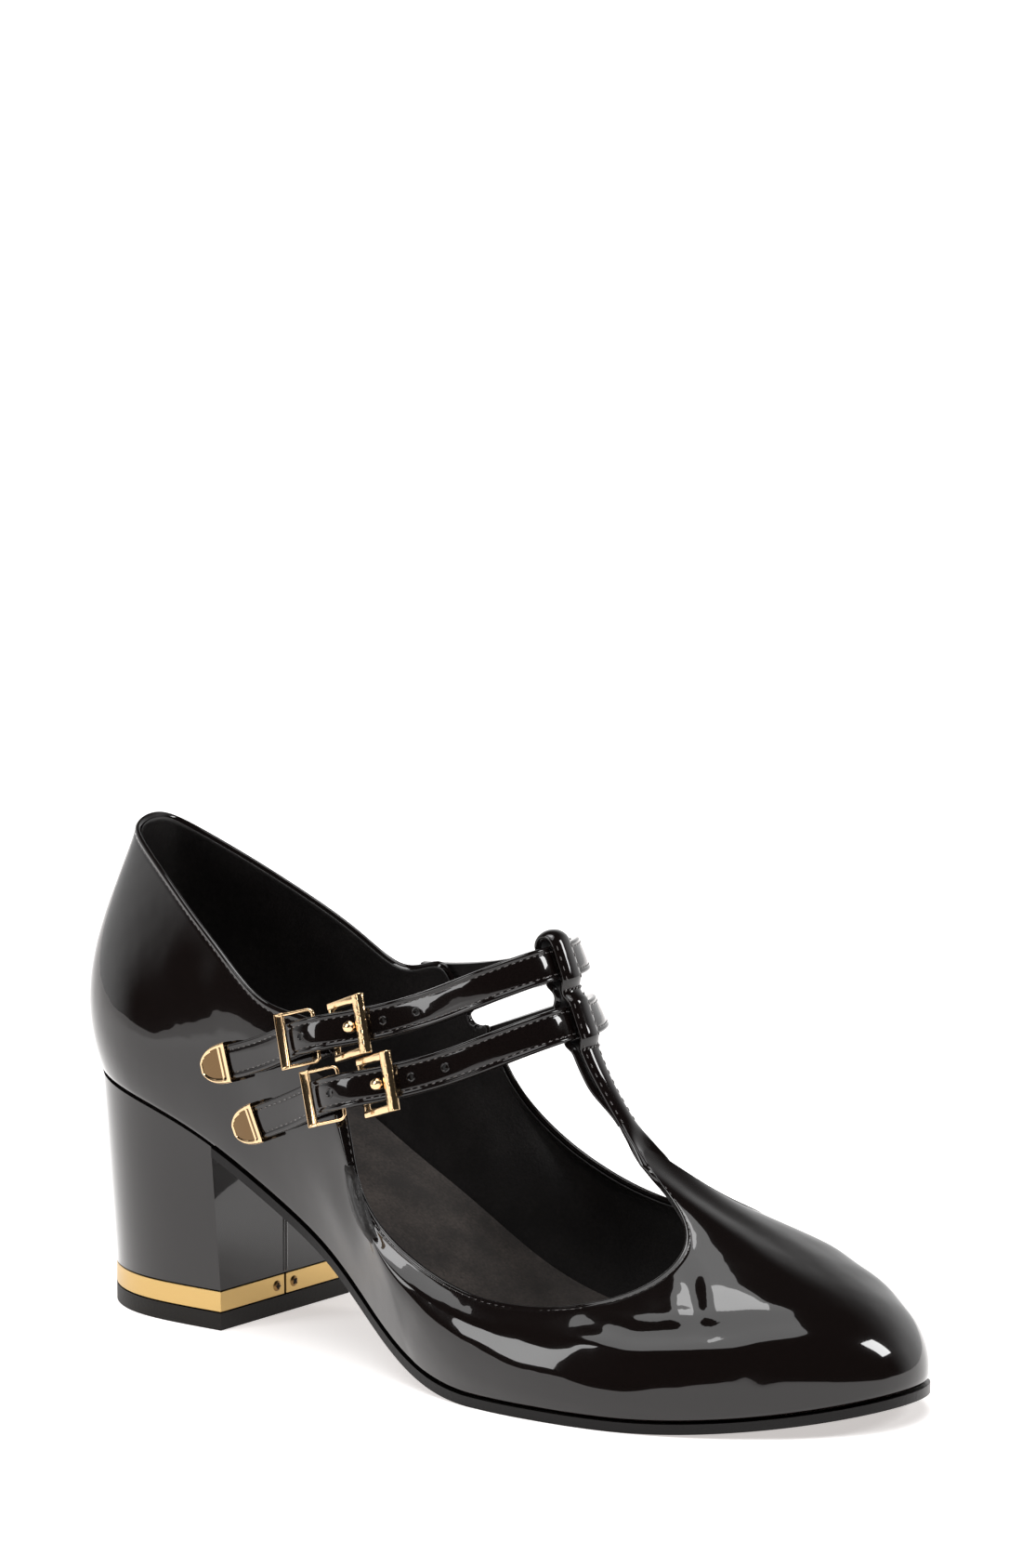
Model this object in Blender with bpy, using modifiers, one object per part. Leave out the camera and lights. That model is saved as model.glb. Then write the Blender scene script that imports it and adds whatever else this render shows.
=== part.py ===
"""T strap shoe, right foot: a hollow last-shaped upper on a thin sole and a covered block heel.

Units are metres. Toe +X, wearer's left +Y (the medial side of a right shoe), up +Z.
The origin is the centre of the bottom face of the heel's top piece, on the floor.
Tables hold shares of the named sizes, one row for each section, from the heel to the toe.
"""

import math

import bmesh
import bpy
import numpy as np
from mathutils import Matrix, Vector

for leftover in list(bpy.data.objects):
    bpy.data.objects.remove(leftover)
SHOE = bpy.data.collections.new("t_strap_shoe")
CUTTERS = bpy.data.collections.new("cutters")
bpy.context.scene.collection.children.link(SHOE)
bpy.context.scene.collection.children.link(CUTTERS)

# Main sizes
LENGTH = 0.228
BALL_WIDTH = 0.080
HEEL_HEIGHT = 0.057
COLLAR_RISE = 0.060
TOE_SPRING = 0.0058
BAR_TOP_HEIGHT = 0.0978
BAR_TOP_X = 0.1306
WALL = 0.0017
GAP = 0.0003

# Sole, insole and heel
SOLE_THICKNESS = 0.0023
SOLE_EDGE = 0.0004
INSOLE_THICKNESS = 0.0028
BREAST_X = 0.0495
HEEL_TAPER_LENGTH = 0.952
HEEL_TAPER_WIDTH = 0.885
TOP_PIECE_HEIGHT = 0.0041
BAND_HEIGHT = 0.0049
BAND_THICKNESS = 0.0008
BAND_SLIT = 0.0007
SCREW_DIAMETER = 0.0026
SCREW_SPACING = 0.0062

# T bar and straps
BAR_WIDTH = 0.0070
STRAP_WIDTH = 0.0080
STRAP_THICKNESS = 0.0018
STRAP_PITCH = 0.0140
LOOP_PLAY = 0.0002
TAB_THICKNESS = 0.0011
TAB_WIDTH = 0.0062
TAB_RETURN = 0.0010
TAB_SETBACK = 0.0026

# Buckles, keepers and tips
HINGE_RADIUS = 0.0008
FRAME_REACH = 0.0090
FRAME_END_WIDTH = 0.0032
FRAME_SIDE_WIDTH = 0.0019
FRAME_THICKNESS = 0.0016
FRAME_PLAY = 0.0010
PRONG_RADIUS = 0.00075
PRONG_HOLE = 0.0032
KEEPER_REACH = 0.0072
KEEPER_RAIL = 0.0023
KEEPER_WIRE = 0.0009
KEEPER_PLAY = 0.0016
TIP_LENGTH = 0.0096
TIP_WIDTH = 0.0094
TIP_THICKNESS = 0.0034

# Mesh steps
RING_STEPS = 96
WALL_STEPS = 12
BAR_COLUMNS = 4
BAR_FRONT_ROWS = 24
BAR_BACK_ROWS = 19
LADDER_STEPS = 28
LADDER_COLUMNS = 4
HEEL_STEPS = 14
STRAP_STEPS = 56

# Spread of the ring's columns, closer together at the wings: share of the columns, u
RING_SPREAD = [(0.00, 0.00), (0.33, 0.36), (0.60, 0.53), (0.75, 0.75), (1.00, 1.00)]

# Side shift of the centre line, towards the medial side: along, shift (share of the ball width)
BEND = [
    (0.00, 0.000),
    (0.20, 0.000),
    (0.45, -0.013),
    (0.68, -0.025),
    (0.85, 0.013),
    (1.00, 0.075),
]

# Bottom of the upper: along, rise (share of the heel's rise over the tread), spring (share of the toe spring)
PROFILE = [
    (0.000, 1.000, 0.00),
    (0.100, 0.938, 0.00),
    (0.210, 0.790, 0.00),
    (0.307, 0.581, 0.00),
    (0.373, 0.426, 0.00),
    (0.412, 0.316, 0.00),
    (0.456, 0.189, 0.00),
    (0.496, 0.098, 0.00),
    (0.550, 0.024, 0.00),
    (0.600, 0.000, 0.00),
    (0.660, 0.000, 0.00),
    (0.720, 0.000, 0.00),
    (0.780, 0.000, 0.01),
    (0.840, 0.000, 0.12),
    (0.920, 0.000, 0.46),
    (1.000, 0.000, 1.00),
]

# Outline where the upper meets the sole: u from heel (0) to toe (1), along, half width
FEATHER = [
    (0.00, 0.004, 0.00),
    (0.05, 0.020, 0.32),
    (0.11, 0.072, 0.585),
    (0.20, 0.170, 0.673),
    (0.32, 0.320, 0.655),
    (0.44, 0.445, 0.77),
    (0.56, 0.570, 0.96),
    (0.66, 0.680, 1.00),
    (0.76, 0.790, 0.93),
    (0.86, 0.890, 0.71),
    (0.94, 0.963, 0.375),
    (1.00, 0.985, 0.00),
]

# Top edge: u, along on the lateral and medial side, half width, rise on each side (share of the collar rise)
TOPLINE = [
    (0.000, 0.040, 0.040, 0.000, 1.000, 1.000),
    (0.050, 0.046, 0.046, 0.175, 0.976, 0.976),
    (0.110, 0.086, 0.086, 0.330, 0.921, 0.904),
    (0.180, 0.162, 0.162, 0.512, 0.837, 0.804),
    (0.250, 0.232, 0.232, 0.625, 0.780, 0.747),
    (0.320, 0.289, 0.289, 0.682, 0.761, 0.752),
    (0.380, 0.338, 0.333, 0.700, 0.826, 0.867),
    (0.425, 0.376, 0.355, 0.705, 0.862, 0.805),
    (0.475, 0.402, 0.386, 0.725, 0.745, 0.768),
    (0.530, 0.423, 0.412, 0.762, 0.560, 0.654),
    (0.590, 0.452, 0.452, 0.800, 0.421, 0.588),
    (0.660, 0.535, 0.535, 0.838, 0.382, 0.560),
    (0.730, 0.632, 0.632, 0.835, 0.351, 0.520),
    (0.800, 0.719, 0.719, 0.725, 0.390, 0.510),
    (0.860, 0.770, 0.770, 0.525, 0.490, 0.555),
    (0.900, 0.776, 0.776, 0.350, 0.590, 0.625),
    (0.940, 0.743, 0.743, 0.180, 0.716, 0.725),
    (0.970, 0.700, 0.700, 0.082, 0.830, 0.830),
    (1.000, 0.689, 0.689, 0.000, 0.861, 0.861),
]

# How each section leaves the feather and reaches the top edge, in shares of the collar rise:
# u, lower outwards, lower up, upper down, upper outwards, upper forwards
SWELL = [
    (0.00, 0.150, 0.367, 0.367, 0.125, 0.000),
    (0.12, 0.117, 0.333, 0.300, 0.100, 0.000),
    (0.25, 0.067, 0.267, 0.233, 0.067, 0.000),
    (0.40, 0.050, 0.250, 0.233, 0.067, 0.000),
    (0.52, 0.067, 0.217, 0.167, 0.083, 0.000),
    (0.62, 0.067, 0.183, 0.100, 0.100, 0.033),
    (0.72, 0.075, 0.167, 0.058, 0.100, 0.075),
    (0.80, 0.083, 0.200, 0.050, 0.090, 0.160),
    (0.88, 0.083, 0.270, 0.070, 0.075, 0.270),
    (0.94, 0.058, 0.350, 0.180, 0.033, 0.320),
    (1.00, 0.050, 0.390, 0.285, 0.000, 0.315),
]

# Middle of the T bar from the vamp (0) to its top (1): step, back (share of its reach), up (share of its climb),
# width (share of the bar width)
BAR_LINE = [
    (0.00, 0.000, 0.000, 0.95),
    (0.17, 0.220, 0.150, 0.85),
    (0.32, 0.408, 0.289, 0.87),
    (0.49, 0.588, 0.452, 0.97),
    (0.64, 0.720, 0.613, 1.00),
    (0.89, 0.912, 0.884, 1.00),
    (1.00, 1.000, 1.000, 1.00),
]

# Arches of a strap beside the T bar: share of the span that leaves the bar straight, and their points
LATERAL_LEAD = 0.36
LATERAL_STEPS = (1 / 3, 2 / 3)
MEDIAL_LEAD = 0.50
MEDIAL_STEPS = (0.24, 0.62)
MEDIAL_TURN = 0.40

# Strap stations on the quarters, along and rise (share of the collar rise over the lower edge): the tip's end,
# the tail and the keeper's rail on the lateral side, then the wing's edge and the sewn end on the medial side
STRAP_STATIONS = {
    "upper": ((0.2645, 0.457), (0.308, 0.602), (0.346, 0.738), (0.338, 0.800), (0.300, 0.715)),
    "lower": ((0.304, 0.328), (0.352, 0.502), (0.387, 0.640), (0.392, 0.700), (0.362, 0.590)),
}
# How far each hinge bar stands ahead of its keeper's rail
HINGE_AHEAD = {"upper": 0.0104, "lower": 0.0116}

# Notches between the two straps' wings: along, rise, length and height (shares of the strap pitch), tilt in degrees
NOTCHES = {"lateral": (0.392, 0.755, 1.20, 0.52, 20.0), "medial": (0.381, 0.778, 0.56, 0.30, 10.0)}

COLOURS = {
    "patent": ((0.012, 0.011, 0.012), 0.08, 0.0),
    "lining": ((0.020, 0.018, 0.018), 0.55, 0.0),
    "rubber": ((0.015, 0.015, 0.015), 0.45, 0.0),
    "gold": ((0.83, 0.66, 0.38), 0.18, 1.0),
    "screw": ((0.35, 0.24, 0.13), 0.35, 1.0),
}


class Curve:
    """Smooth curve through a table's values, with slopes solved so that its bend is continuous."""

    def __init__(self, knots, values, closed=False):
        self.knots = np.asarray(knots, float)
        self.values = np.asarray(values, float)
        steps = np.diff(self.knots)
        rates = np.diff(self.values) / steps
        count = len(self.knots)
        system = np.zeros((count, count))
        right = np.zeros(count)
        for i in range(1, count - 1):
            system[i, i - 1] = steps[i]
            system[i, i] = 2.0 * (steps[i - 1] + steps[i])
            system[i, i + 1] = steps[i - 1]
            right[i] = 3.0 * (steps[i] * rates[i - 1] + steps[i - 1] * rates[i])
        if closed:
            system[0, 0] = 1.0
            system[0, -1] = -1.0
            system[-1, 0] = 2.0 / steps[0]
            system[-1, 1] = 1.0 / steps[0]
            system[-1, -2] = 1.0 / steps[-1]
            system[-1, -1] = 2.0 / steps[-1]
            right[-1] = 3.0 * (rates[0] / steps[0] + rates[-1] / steps[-1])
        else:
            system[0, 0] = 2.0
            system[0, 1] = 1.0
            right[0] = 3.0 * rates[0]
            system[-1, -1] = 2.0
            system[-1, -2] = 1.0
            right[-1] = 3.0 * rates[-1]
        self.slopes = np.linalg.solve(system, right)

    def __call__(self, at):
        at = np.asarray(at, float)
        span = np.clip(np.searchsorted(self.knots, at, side="right") - 1, 0, len(self.knots) - 2)
        width = self.knots[span + 1] - self.knots[span]
        t = (at - self.knots[span]) / width
        start = self.values[span]
        end = self.values[span + 1]
        rise = (2 * t**3 - 3 * t**2 + 1) * start + (3 * t**2 - 2 * t**3) * end
        lean = (t**3 - 2 * t**2 + t) * self.slopes[span] + (t**3 - t**2) * self.slopes[span + 1]
        return rise + lean * width

    def slope(self, at):
        """Rate of change at a place."""
        at = np.asarray(at, float)
        span = np.clip(np.searchsorted(self.knots, at, side="right") - 1, 0, len(self.knots) - 2)
        width = self.knots[span + 1] - self.knots[span]
        t = (at - self.knots[span]) / width
        rate = (self.values[span + 1] - self.values[span]) / width
        ends = (3 * t**2 - 4 * t + 1) * self.slopes[span] + (3 * t**2 - 2 * t) * self.slopes[span + 1]
        return 6 * (t - t**2) * rate + ends


def open_curve(table, column):
    """Curve of one column of a table over its first column."""
    rows = np.array(table)
    return Curve(rows[:, 0], rows[:, column])


def ring_curve(table, lateral, medial, odd=False):
    """Closed curve round the shoe, u from -1 to 1: medial values first, then lateral ones."""
    rows = np.array(table)
    sign = -1.0 if odd else 1.0
    knots = np.concatenate([-rows[::-1, 0], rows[1:, 0]])
    values = np.concatenate([sign * rows[::-1, medial], rows[1:, lateral]])
    return Curve(knots, values, closed=True)


TREAD = SOLE_THICKNESS + GAP
BEND_CURVE = open_curve(BEND, 1)
RISE_CURVE = open_curve(PROFILE, 1)
SPRING_CURVE = open_curve(PROFILE, 2)
FEATHER_ALONG = ring_curve(FEATHER, 1, 1)
FEATHER_SIDE = ring_curve(FEATHER, 2, 2, odd=True)
TOP_ALONG = ring_curve(TOPLINE, 1, 2)
TOP_SIDE = ring_curve(TOPLINE, 3, 3, odd=True)
TOP_RISE = ring_curve(TOPLINE, 4, 5)
SWELL_CURVES = [ring_curve(SWELL, column, column) for column in range(1, 6)]
HEEL_BACK_X = BREAST_X - (BREAST_X - float(FEATHER_ALONG(0.0)) * LENGTH) * HEEL_TAPER_LENGTH
ORIGIN_X = (BREAST_X + HEEL_BACK_X) / 2


def side_shift(x):
    """Side shift of the centre line at a place along the shoe, before the origin is moved."""
    return BEND_CURVE(x / LENGTH) * BALL_WIDTH


def bottom_height(x):
    """Height of the upper's lower edge above the floor."""
    rise = np.maximum(RISE_CURVE(x / LENGTH), 0.0) * (HEEL_HEIGHT - TREAD)
    spring = np.maximum(SPRING_CURVE(x / LENGTH), 0.0) * TOE_SPRING
    return TREAD + rise + spring


def feather_plan(u):
    """Plan place of the upper's lower edge, and the outward direction there, without the side shift."""
    x = FEATHER_ALONG(u) * LENGTH
    y = -FEATHER_SIDE(u) * BALL_WIDTH / 2
    run = FEATHER_ALONG.slope(u) * LENGTH
    side = -FEATHER_SIDE.slope(u) * BALL_WIDTH / 2
    size = np.hypot(run, side)
    return x, y, side / size, -run / size


def upper_point(u, v):
    """Point of the upper's outer face: u round the shoe, v from the sole (0) to the top edge (1)."""
    u = np.asarray(u, float)
    v = np.asarray(v, float)
    x, y, out_x, out_y = feather_plan(u)
    low_out, low_up, high_down, high_out, high_fore = [curve(u) * COLLAR_RISE for curve in SWELL_CURVES]
    top_x = TOP_ALONG(u) * LENGTH
    top_y = -TOP_SIDE(u) * BALL_WIDTH / 2
    top_z = bottom_height(top_x) + TOP_RISE(u) * COLLAR_RISE
    start = np.stack([x, y, bottom_height(x)], -1)
    leave = start + np.stack([out_x * low_out, out_y * low_out, low_up], -1)
    end = np.stack([top_x, top_y, top_z], -1)
    reach = end + np.stack([out_x * high_out + high_fore, out_y * high_out, -high_down], -1)
    v = v[..., None]
    point = (1 - v)**3 * start + 3 * v * (1 - v)**2 * leave + 3 * v**2 * (1 - v) * reach + v**3 * end
    point[..., 1] += side_shift(point[..., 0])
    return point


def upper_normal(u, v):
    """Outward direction of the upper's outer face."""
    step = 1e-3
    round_way = upper_point(u + step, v) - upper_point(u - step, v)
    up_way = upper_point(u, v + step) - upper_point(u, v - step)
    normal = np.cross(round_way, up_way)
    return normal / np.linalg.norm(normal)


def unit(vector):
    """Vector of length one."""
    return vector / np.linalg.norm(vector)


# The bar's middle line starts behind the vamp's top point, half of its two layers inwards
BAR_BASE = upper_point(1.0, 1.0)
BAR_TOP = np.array([BAR_TOP_X, 0.0, BAR_TOP_HEIGHT])
LAYER_REST = GAP / 2 + WALL
LAYER_LOOP = STRAP_THICKNESS / 2 + GAP + LOOP_PLAY + WALL
BAR_CLIMB = unit((BAR_TOP - BAR_BASE) * (1.0, 0.0, 1.0))
BAR_START = BAR_BASE - LAYER_REST * np.array([BAR_CLIMB[2], 0.0, -BAR_CLIMB[0]])
BAR_BACK = open_curve(BAR_LINE, 1)
BAR_UP = open_curve(BAR_LINE, 2)
BAR_BREADTH = open_curve(BAR_LINE, 3)


def bar_point(step):
    """Middle of the T bar between its front and back layer, from the vamp (0) to the top (1)."""
    x = BAR_START[0] + BAR_BACK(step) * (BAR_TOP[0] - BAR_START[0])
    z = BAR_START[2] + BAR_UP(step) * (BAR_TOP[2] - BAR_START[2])
    return np.array([x, float(side_shift(x)), z])


def bar_frame(step):
    """Upward and forward directions of the T bar at a step."""
    small = 1e-3
    up = unit(bar_point(min(step + small, 1.0)) - bar_point(max(step - small, 0.0)))
    up[1] = 0.0
    up = unit(up)
    return up, np.array([up[2], 0.0, -up[0]])


def bar_step_below_top(distance):
    """Step of the bar that lies a distance below its top, measured along it."""
    steps = np.linspace(1.0, 0.0, 201)
    points = np.array([bar_point(step) for step in steps])
    run = np.concatenate([[0.0], np.cumsum(np.linalg.norm(np.diff(points, axis=0), axis=1))])
    return float(np.interp(distance, run, steps))


def bar_run(step):
    """Distance along the bar from its top to a step."""
    steps = np.linspace(step, 1.0, 60)
    points = np.array([bar_point(place) for place in steps])
    return float(np.linalg.norm(np.diff(points, axis=0), axis=1).sum())


def layer_offset(step):
    """Distance of a layer's outer face from the bar's middle: wider where a strap passes through."""
    run = bar_run(step)
    ramp = STRAP_PITCH * 0.17
    share = 0.0
    for centre in (STRAP_WIDTH / 2, STRAP_WIDTH / 2 + STRAP_PITCH):
        beyond = abs(run - centre) - STRAP_WIDTH / 2 - GAP
        share = max(share, 1.0 - min(max(beyond / ramp, 0.0), 1.0))
    share = share * share * (3 - 2 * share)
    return LAYER_REST + share * (LAYER_LOOP - LAYER_REST)


def to_frame(point):
    """Point in the shoe's own frame, whose origin is under the middle of the heel."""
    return Vector(point) - Vector((ORIGIN_X, 0.0, 0.0))


def new_object(name, mesh, colour):
    """Make an object with its own material in the shoe's collection."""
    item = bpy.data.objects.new(name, mesh)
    SHOE.objects.link(item)
    tint, roughness, metallic = COLOURS[colour]
    material = bpy.data.materials.new(name)
    material.use_nodes = True
    shader = material.node_tree.nodes["Principled BSDF"]
    shader.inputs["Base Color"].default_value = (*tint, 1.0)
    shader.inputs["Roughness"].default_value = roughness
    shader.inputs["Metallic"].default_value = metallic
    mesh.materials.append(material)
    return item


def finish_mesh(work, name):
    """Turn a bmesh into a mesh with its faces pointing out, round forms shaded smooth."""
    bmesh.ops.remove_doubles(work, verts=work.verts, dist=2e-6)
    bmesh.ops.recalc_face_normals(work, faces=work.faces)
    mesh = bpy.data.meshes.new(name)
    work.to_mesh(mesh)
    work.free()
    mesh.shade_smooth()
    mesh.set_sharp_from_angle(angle=math.radians(35))
    return mesh


def add_grid(work, columns, rows):
    """Add a grid to a bmesh and give each new vertex with its place across and up, from 0 to 1."""
    made = bmesh.ops.create_grid(work, x_segments=columns, y_segments=rows, size=0.5)
    return [(vert, vert.co.x + 0.5, vert.co.y + 0.5) for vert in made["verts"]]


def slab(name, colour, columns, rows, top, bottom):
    """Closed solid between two faces, each given by a function of the place along and across."""
    work = bmesh.new()
    add_grid(work, columns, rows)
    made = bmesh.ops.extrude_face_region(work, geom=work.faces[:])
    lower = {item for item in made["geom"] if isinstance(item, bmesh.types.BMVert)}
    for vert in work.verts:
        place = bottom if vert in lower else top
        vert.co = to_frame(place(vert.co.x + 0.5, vert.co.y + 0.5))
    return new_object(name, finish_mesh(work, name), colour)


def add_solidify(item, thickness):
    """Give an open sheet its thickness, inwards from its outer face."""
    solid = item.modifiers.new("wall", "SOLIDIFY")
    solid.thickness = thickness
    solid.offset = -1.0
    solid.use_even_offset = True
    solid.use_quality_normals = True
    return solid


def cut(item, cutter):
    """Take a cutter's form out of an object."""
    taken = item.modifiers.new("cut", "BOOLEAN")
    taken.operation = "DIFFERENCE"
    taken.solver = "EXACT"
    taken.object = cutter
    cutter.hide_render = True
    cutter.display_type = "WIRE"


def cutter_rod(name, start, end, radius):
    """Round cutter between two points."""
    mesh = bpy.data.meshes.new(name)
    work = bmesh.new()
    axis = Vector(end - start)
    turn = axis.to_track_quat("Z", "Y").to_matrix().to_4x4()
    centre = Matrix.Translation(Vector((start + end) / 2))
    bmesh.ops.create_cone(work, cap_ends=True, segments=16, radius1=radius, radius2=radius,
                          depth=axis.length, matrix=centre @ turn)
    work.to_mesh(mesh)
    work.free()
    item = bpy.data.objects.new(name, mesh)
    CUTTERS.objects.link(item)
    return item


def ring_place(turn):
    """Place round the ring of a column, from -1 to 1."""
    rows = np.array(RING_SPREAD)
    return math.copysign(float(np.interp(abs(turn), rows[:, 0], rows[:, 1])), turn)


def upper_sheet():
    """Outer face of the upper: the ring round the last, and the T bar folded over the straps."""
    work = bmesh.new()
    for vert, across, up in add_grid(work, RING_STEPS, WALL_STEPS):
        vert.co = to_frame(upper_point(ring_place(2 * across - 1), up))
    bar_u = BAR_COLUMNS / RING_STEPS
    front = list(np.linspace(0.05, 1.0, BAR_FRONT_ROWS))
    back = list(np.linspace(1.0, 0.14, BAR_BACK_ROWS))
    fold = [math.pi * share for share in (0.2, 0.4, 0.6, 0.8)]
    rows = []
    for step in front:
        _, ahead = bar_frame(step)
        rows.append((bar_point(step) + ahead * layer_offset(step), float(BAR_BREADTH(step))))
    up, ahead = bar_frame(1.0)
    for angle in fold:
        turn = ahead * math.cos(angle) + up * math.sin(angle)
        rows.append((bar_point(1.0) + turn * LAYER_LOOP, 1.0))
    for step in back:
        _, ahead = bar_frame(step)
        rows.append((bar_point(step) - ahead * layer_offset(step), float(BAR_BREADTH(step))))
    for vert, across, along in add_grid(work, BAR_COLUMNS, len(rows)):
        row = round(along * len(rows))
        if row == 0:
            turn = 1.0 - bar_u * (1 - 2 * across) if across < 0.5 else -1.0 + bar_u * (2 * across - 1)
            vert.co = to_frame(upper_point(ring_place(turn), 1.0))
        else:
            place, breadth = rows[row - 1]
            side = np.array([0.0, (2 * across - 1) * breadth * BAR_WIDTH / 2, 0.0])
            vert.co = to_frame(place + side)
    return finish_mesh(work, "upper")


def notch_cutter(name, side):
    """Oval cutter for the notch between the wings of one side."""
    along, rise, length, height, tilt = NOTCHES[name]
    x = along * LENGTH
    z = float(bottom_height(x)) + rise * COLLAR_RISE
    work = bmesh.new()
    bmesh.ops.create_cone(work, cap_ends=True, segments=28, radius1=0.5, radius2=0.5, depth=BALL_WIDTH * 0.25)
    sizes = Matrix.Diagonal((length * STRAP_PITCH, height * STRAP_PITCH, 1.0, 1.0))
    turn = Matrix.Rotation(math.radians(90), 4, "X") @ Matrix.Rotation(math.radians(tilt), 4, "Z")
    place = Matrix.Translation(to_frame((x, side * BALL_WIDTH * 0.37, z)))
    bmesh.ops.transform(work, matrix=place @ turn @ sizes, verts=work.verts)
    mesh = bpy.data.meshes.new("notch_" + name)
    work.to_mesh(mesh)
    work.free()
    item = bpy.data.objects.new("notch_" + name, mesh)
    CUTTERS.objects.link(item)
    return item


def build_upper():
    """Hollow upper with its wall and a notch between the wings on each side."""
    item = new_object("upper", upper_sheet(), "patent")
    add_solidify(item, WALL)
    cut(item, notch_cutter("lateral", -1))
    cut(item, notch_cutter("medial", 1))
    return item


def ladder(u_start, u_end, outset, height):
    """Face across the shoe between both feather lines, from one ring position to another."""
    def place(along, across):
        u = u_start + (u_end - u_start) * along
        x, y, out_x, out_y = feather_plan(u)
        width = abs(float(y + out_y * outset))
        x = float(x + out_x * outset)
        if along < 1e-6 and u_start < 1e-3 or along > 1 - 1e-6:
            width = 0.0
        y = (2 * across - 1) * width
        return Vector((x, y + float(side_shift(x)), height(x, y)))
    return place


def breast_u():
    """Ring position where the feather line passes the heel breast."""
    places = np.linspace(0.0, 0.5, 501)
    return float(np.interp(BREAST_X, FEATHER_ALONG(places) * LENGTH, places))


def build_outsole():
    """Thin sole from the breast to the toe, its edge standing a little outside the upper."""
    start = breast_u() + GAP / LENGTH
    top = ladder(start, 1.0, SOLE_EDGE, lambda x, y: float(bottom_height(x)) - GAP)
    bottom = ladder(start, 1.0, SOLE_EDGE, lambda x, y: float(bottom_height(x)) - GAP - SOLE_THICKNESS)
    return slab("outsole", "rubber", LADDER_STEPS, LADDER_COLUMNS, top, bottom)


def build_insole():
    """Insole inside the wall, from the heel to the toe."""
    inset = -(WALL + GAP)
    top = ladder(0.0, 1.0, inset, lambda x, y: float(bottom_height(x)) + INSOLE_THICKNESS)
    bottom = ladder(0.0, 1.0, inset, lambda x, y: float(bottom_height(x)))
    return slab("insole", "lining", LADDER_STEPS, LADDER_COLUMNS, top, bottom)


def heel_plan(share, inset):
    """Plan of the heel: taper share from the seat (0) to the floor (1), set in by a distance."""
    keep_x = 1.0 + share * (HEEL_TAPER_LENGTH - 1.0)
    keep_y = 1.0 + share * (HEEL_TAPER_WIDTH - 1.0)

    def place(along, across, z):
        u = breast_u() * along
        x, y, out_x, out_y = feather_plan(u)
        x = BREAST_X - (BREAST_X - float(x)) * keep_x
        y = abs(float(y)) * keep_y
        if along < 1e-6:
            y = 0.0
        x = x - float(out_x) * inset if along < 1 - 1e-6 else BREAST_X - inset
        y = max(y - abs(float(out_y)) * inset, 0.0)
        return Vector((x, (2 * across - 1) * y, z))
    return place


def build_heel_block():
    """Covered block heel: seat on top, tapering body, and a smaller spigot inside the band."""
    seat = heel_plan(0.0, 0.0)
    foot = heel_plan(1.0, 0.0)
    spigot_inset = BAND_THICKNESS + GAP
    spigot = heel_plan(1.0, spigot_inset)
    level = TOP_PIECE_HEIGHT + GAP + BAND_HEIGHT + GAP
    floor = TOP_PIECE_HEIGHT + GAP
    work = bmesh.new()
    add_grid(work, HEEL_STEPS, 4)
    made = bmesh.ops.extrude_face_region(work, geom=work.faces[:])
    lower = {item for item in made["geom"] if isinstance(item, bmesh.types.BMVert)}
    lower_faces = [item for item in made["geom"] if isinstance(item, bmesh.types.BMFace)]
    step = bmesh.ops.extrude_face_region(work, geom=lower_faces)
    ledge = {item for item in step["geom"] if isinstance(item, bmesh.types.BMVert)}
    ledge_faces = [item for item in step["geom"] if isinstance(item, bmesh.types.BMFace)]
    bmesh.ops.delete(work, geom=lower_faces, context="FACES_KEEP_BOUNDARY")
    stem = bmesh.ops.extrude_face_region(work, geom=ledge_faces)
    tip = {item for item in stem["geom"] if isinstance(item, bmesh.types.BMVert)}
    bmesh.ops.delete(work, geom=ledge_faces, context="FACES_KEEP_BOUNDARY")
    for vert in work.verts:
        along = vert.co.x + 0.5
        across = vert.co.y + 0.5
        if vert in tip:
            place = spigot(along, across, floor)
        elif vert in ledge:
            place = spigot(along, across, level)
        elif vert in lower:
            place = foot(along, across, level)
        else:
            place = seat(along, across, 0.0)
            place.z = float(bottom_height(place.x)) - GAP
        vert.co = to_frame(place)
    return new_object("heel_block", finish_mesh(work, "heel_block"), "patent")


def build_top_piece():
    """Rubber top piece that the heel stands on."""
    plan = heel_plan(1.0, 0.0)
    return slab("top_piece", "rubber", HEEL_STEPS, 4,
                lambda along, across: plan(along, across, TOP_PIECE_HEIGHT),
                lambda along, across: plan(along, across, 0.0))


def build_heel_band():
    """Metal band round the heel's foot, with a slit at the middle of the breast."""
    plan = heel_plan(1.0, 0.0)
    low = TOP_PIECE_HEIGHT + GAP
    turns = list(np.linspace(0.0, 1.0, HEEL_STEPS + 1))
    lateral = [plan(along, 0.0, low) for along in turns]
    medial = [plan(along, 1.0, low) for along in reversed(turns)]
    corner = lateral[-1]
    slit_start = Vector((corner.x, -BAND_SLIT / 2, low))
    slit_end = Vector((corner.x, BAND_SLIT / 2, low))
    route = [slit_end] + medial[:-1] + lateral + [slit_start]
    work = bmesh.new()
    for vert, along, up in add_grid(work, len(route) - 1, 1):
        place = route[round(along * (len(route) - 1))]
        vert.co = to_frame(place + Vector((0.0, 0.0, up * BAND_HEIGHT)))
    mesh = finish_mesh(work, "heel_band")
    item = new_object("heel_band", mesh, "gold")
    add_solidify(item, BAND_THICKNESS)
    middle = low + BAND_HEIGHT / 2
    for name, side in (("band_screw_left", 1), ("band_screw_right", -1)):
        face = np.array(to_frame((BREAST_X, side * SCREW_SPACING / 2, middle)))
        deep = np.array([BAND_THICKNESS * 2, 0.0, 0.0])
        cut(item, cutter_rod(name + "_hole", face - deep, face + deep, SCREW_DIAMETER / 2 + GAP))
        build_screw(name, face)
    return item


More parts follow.
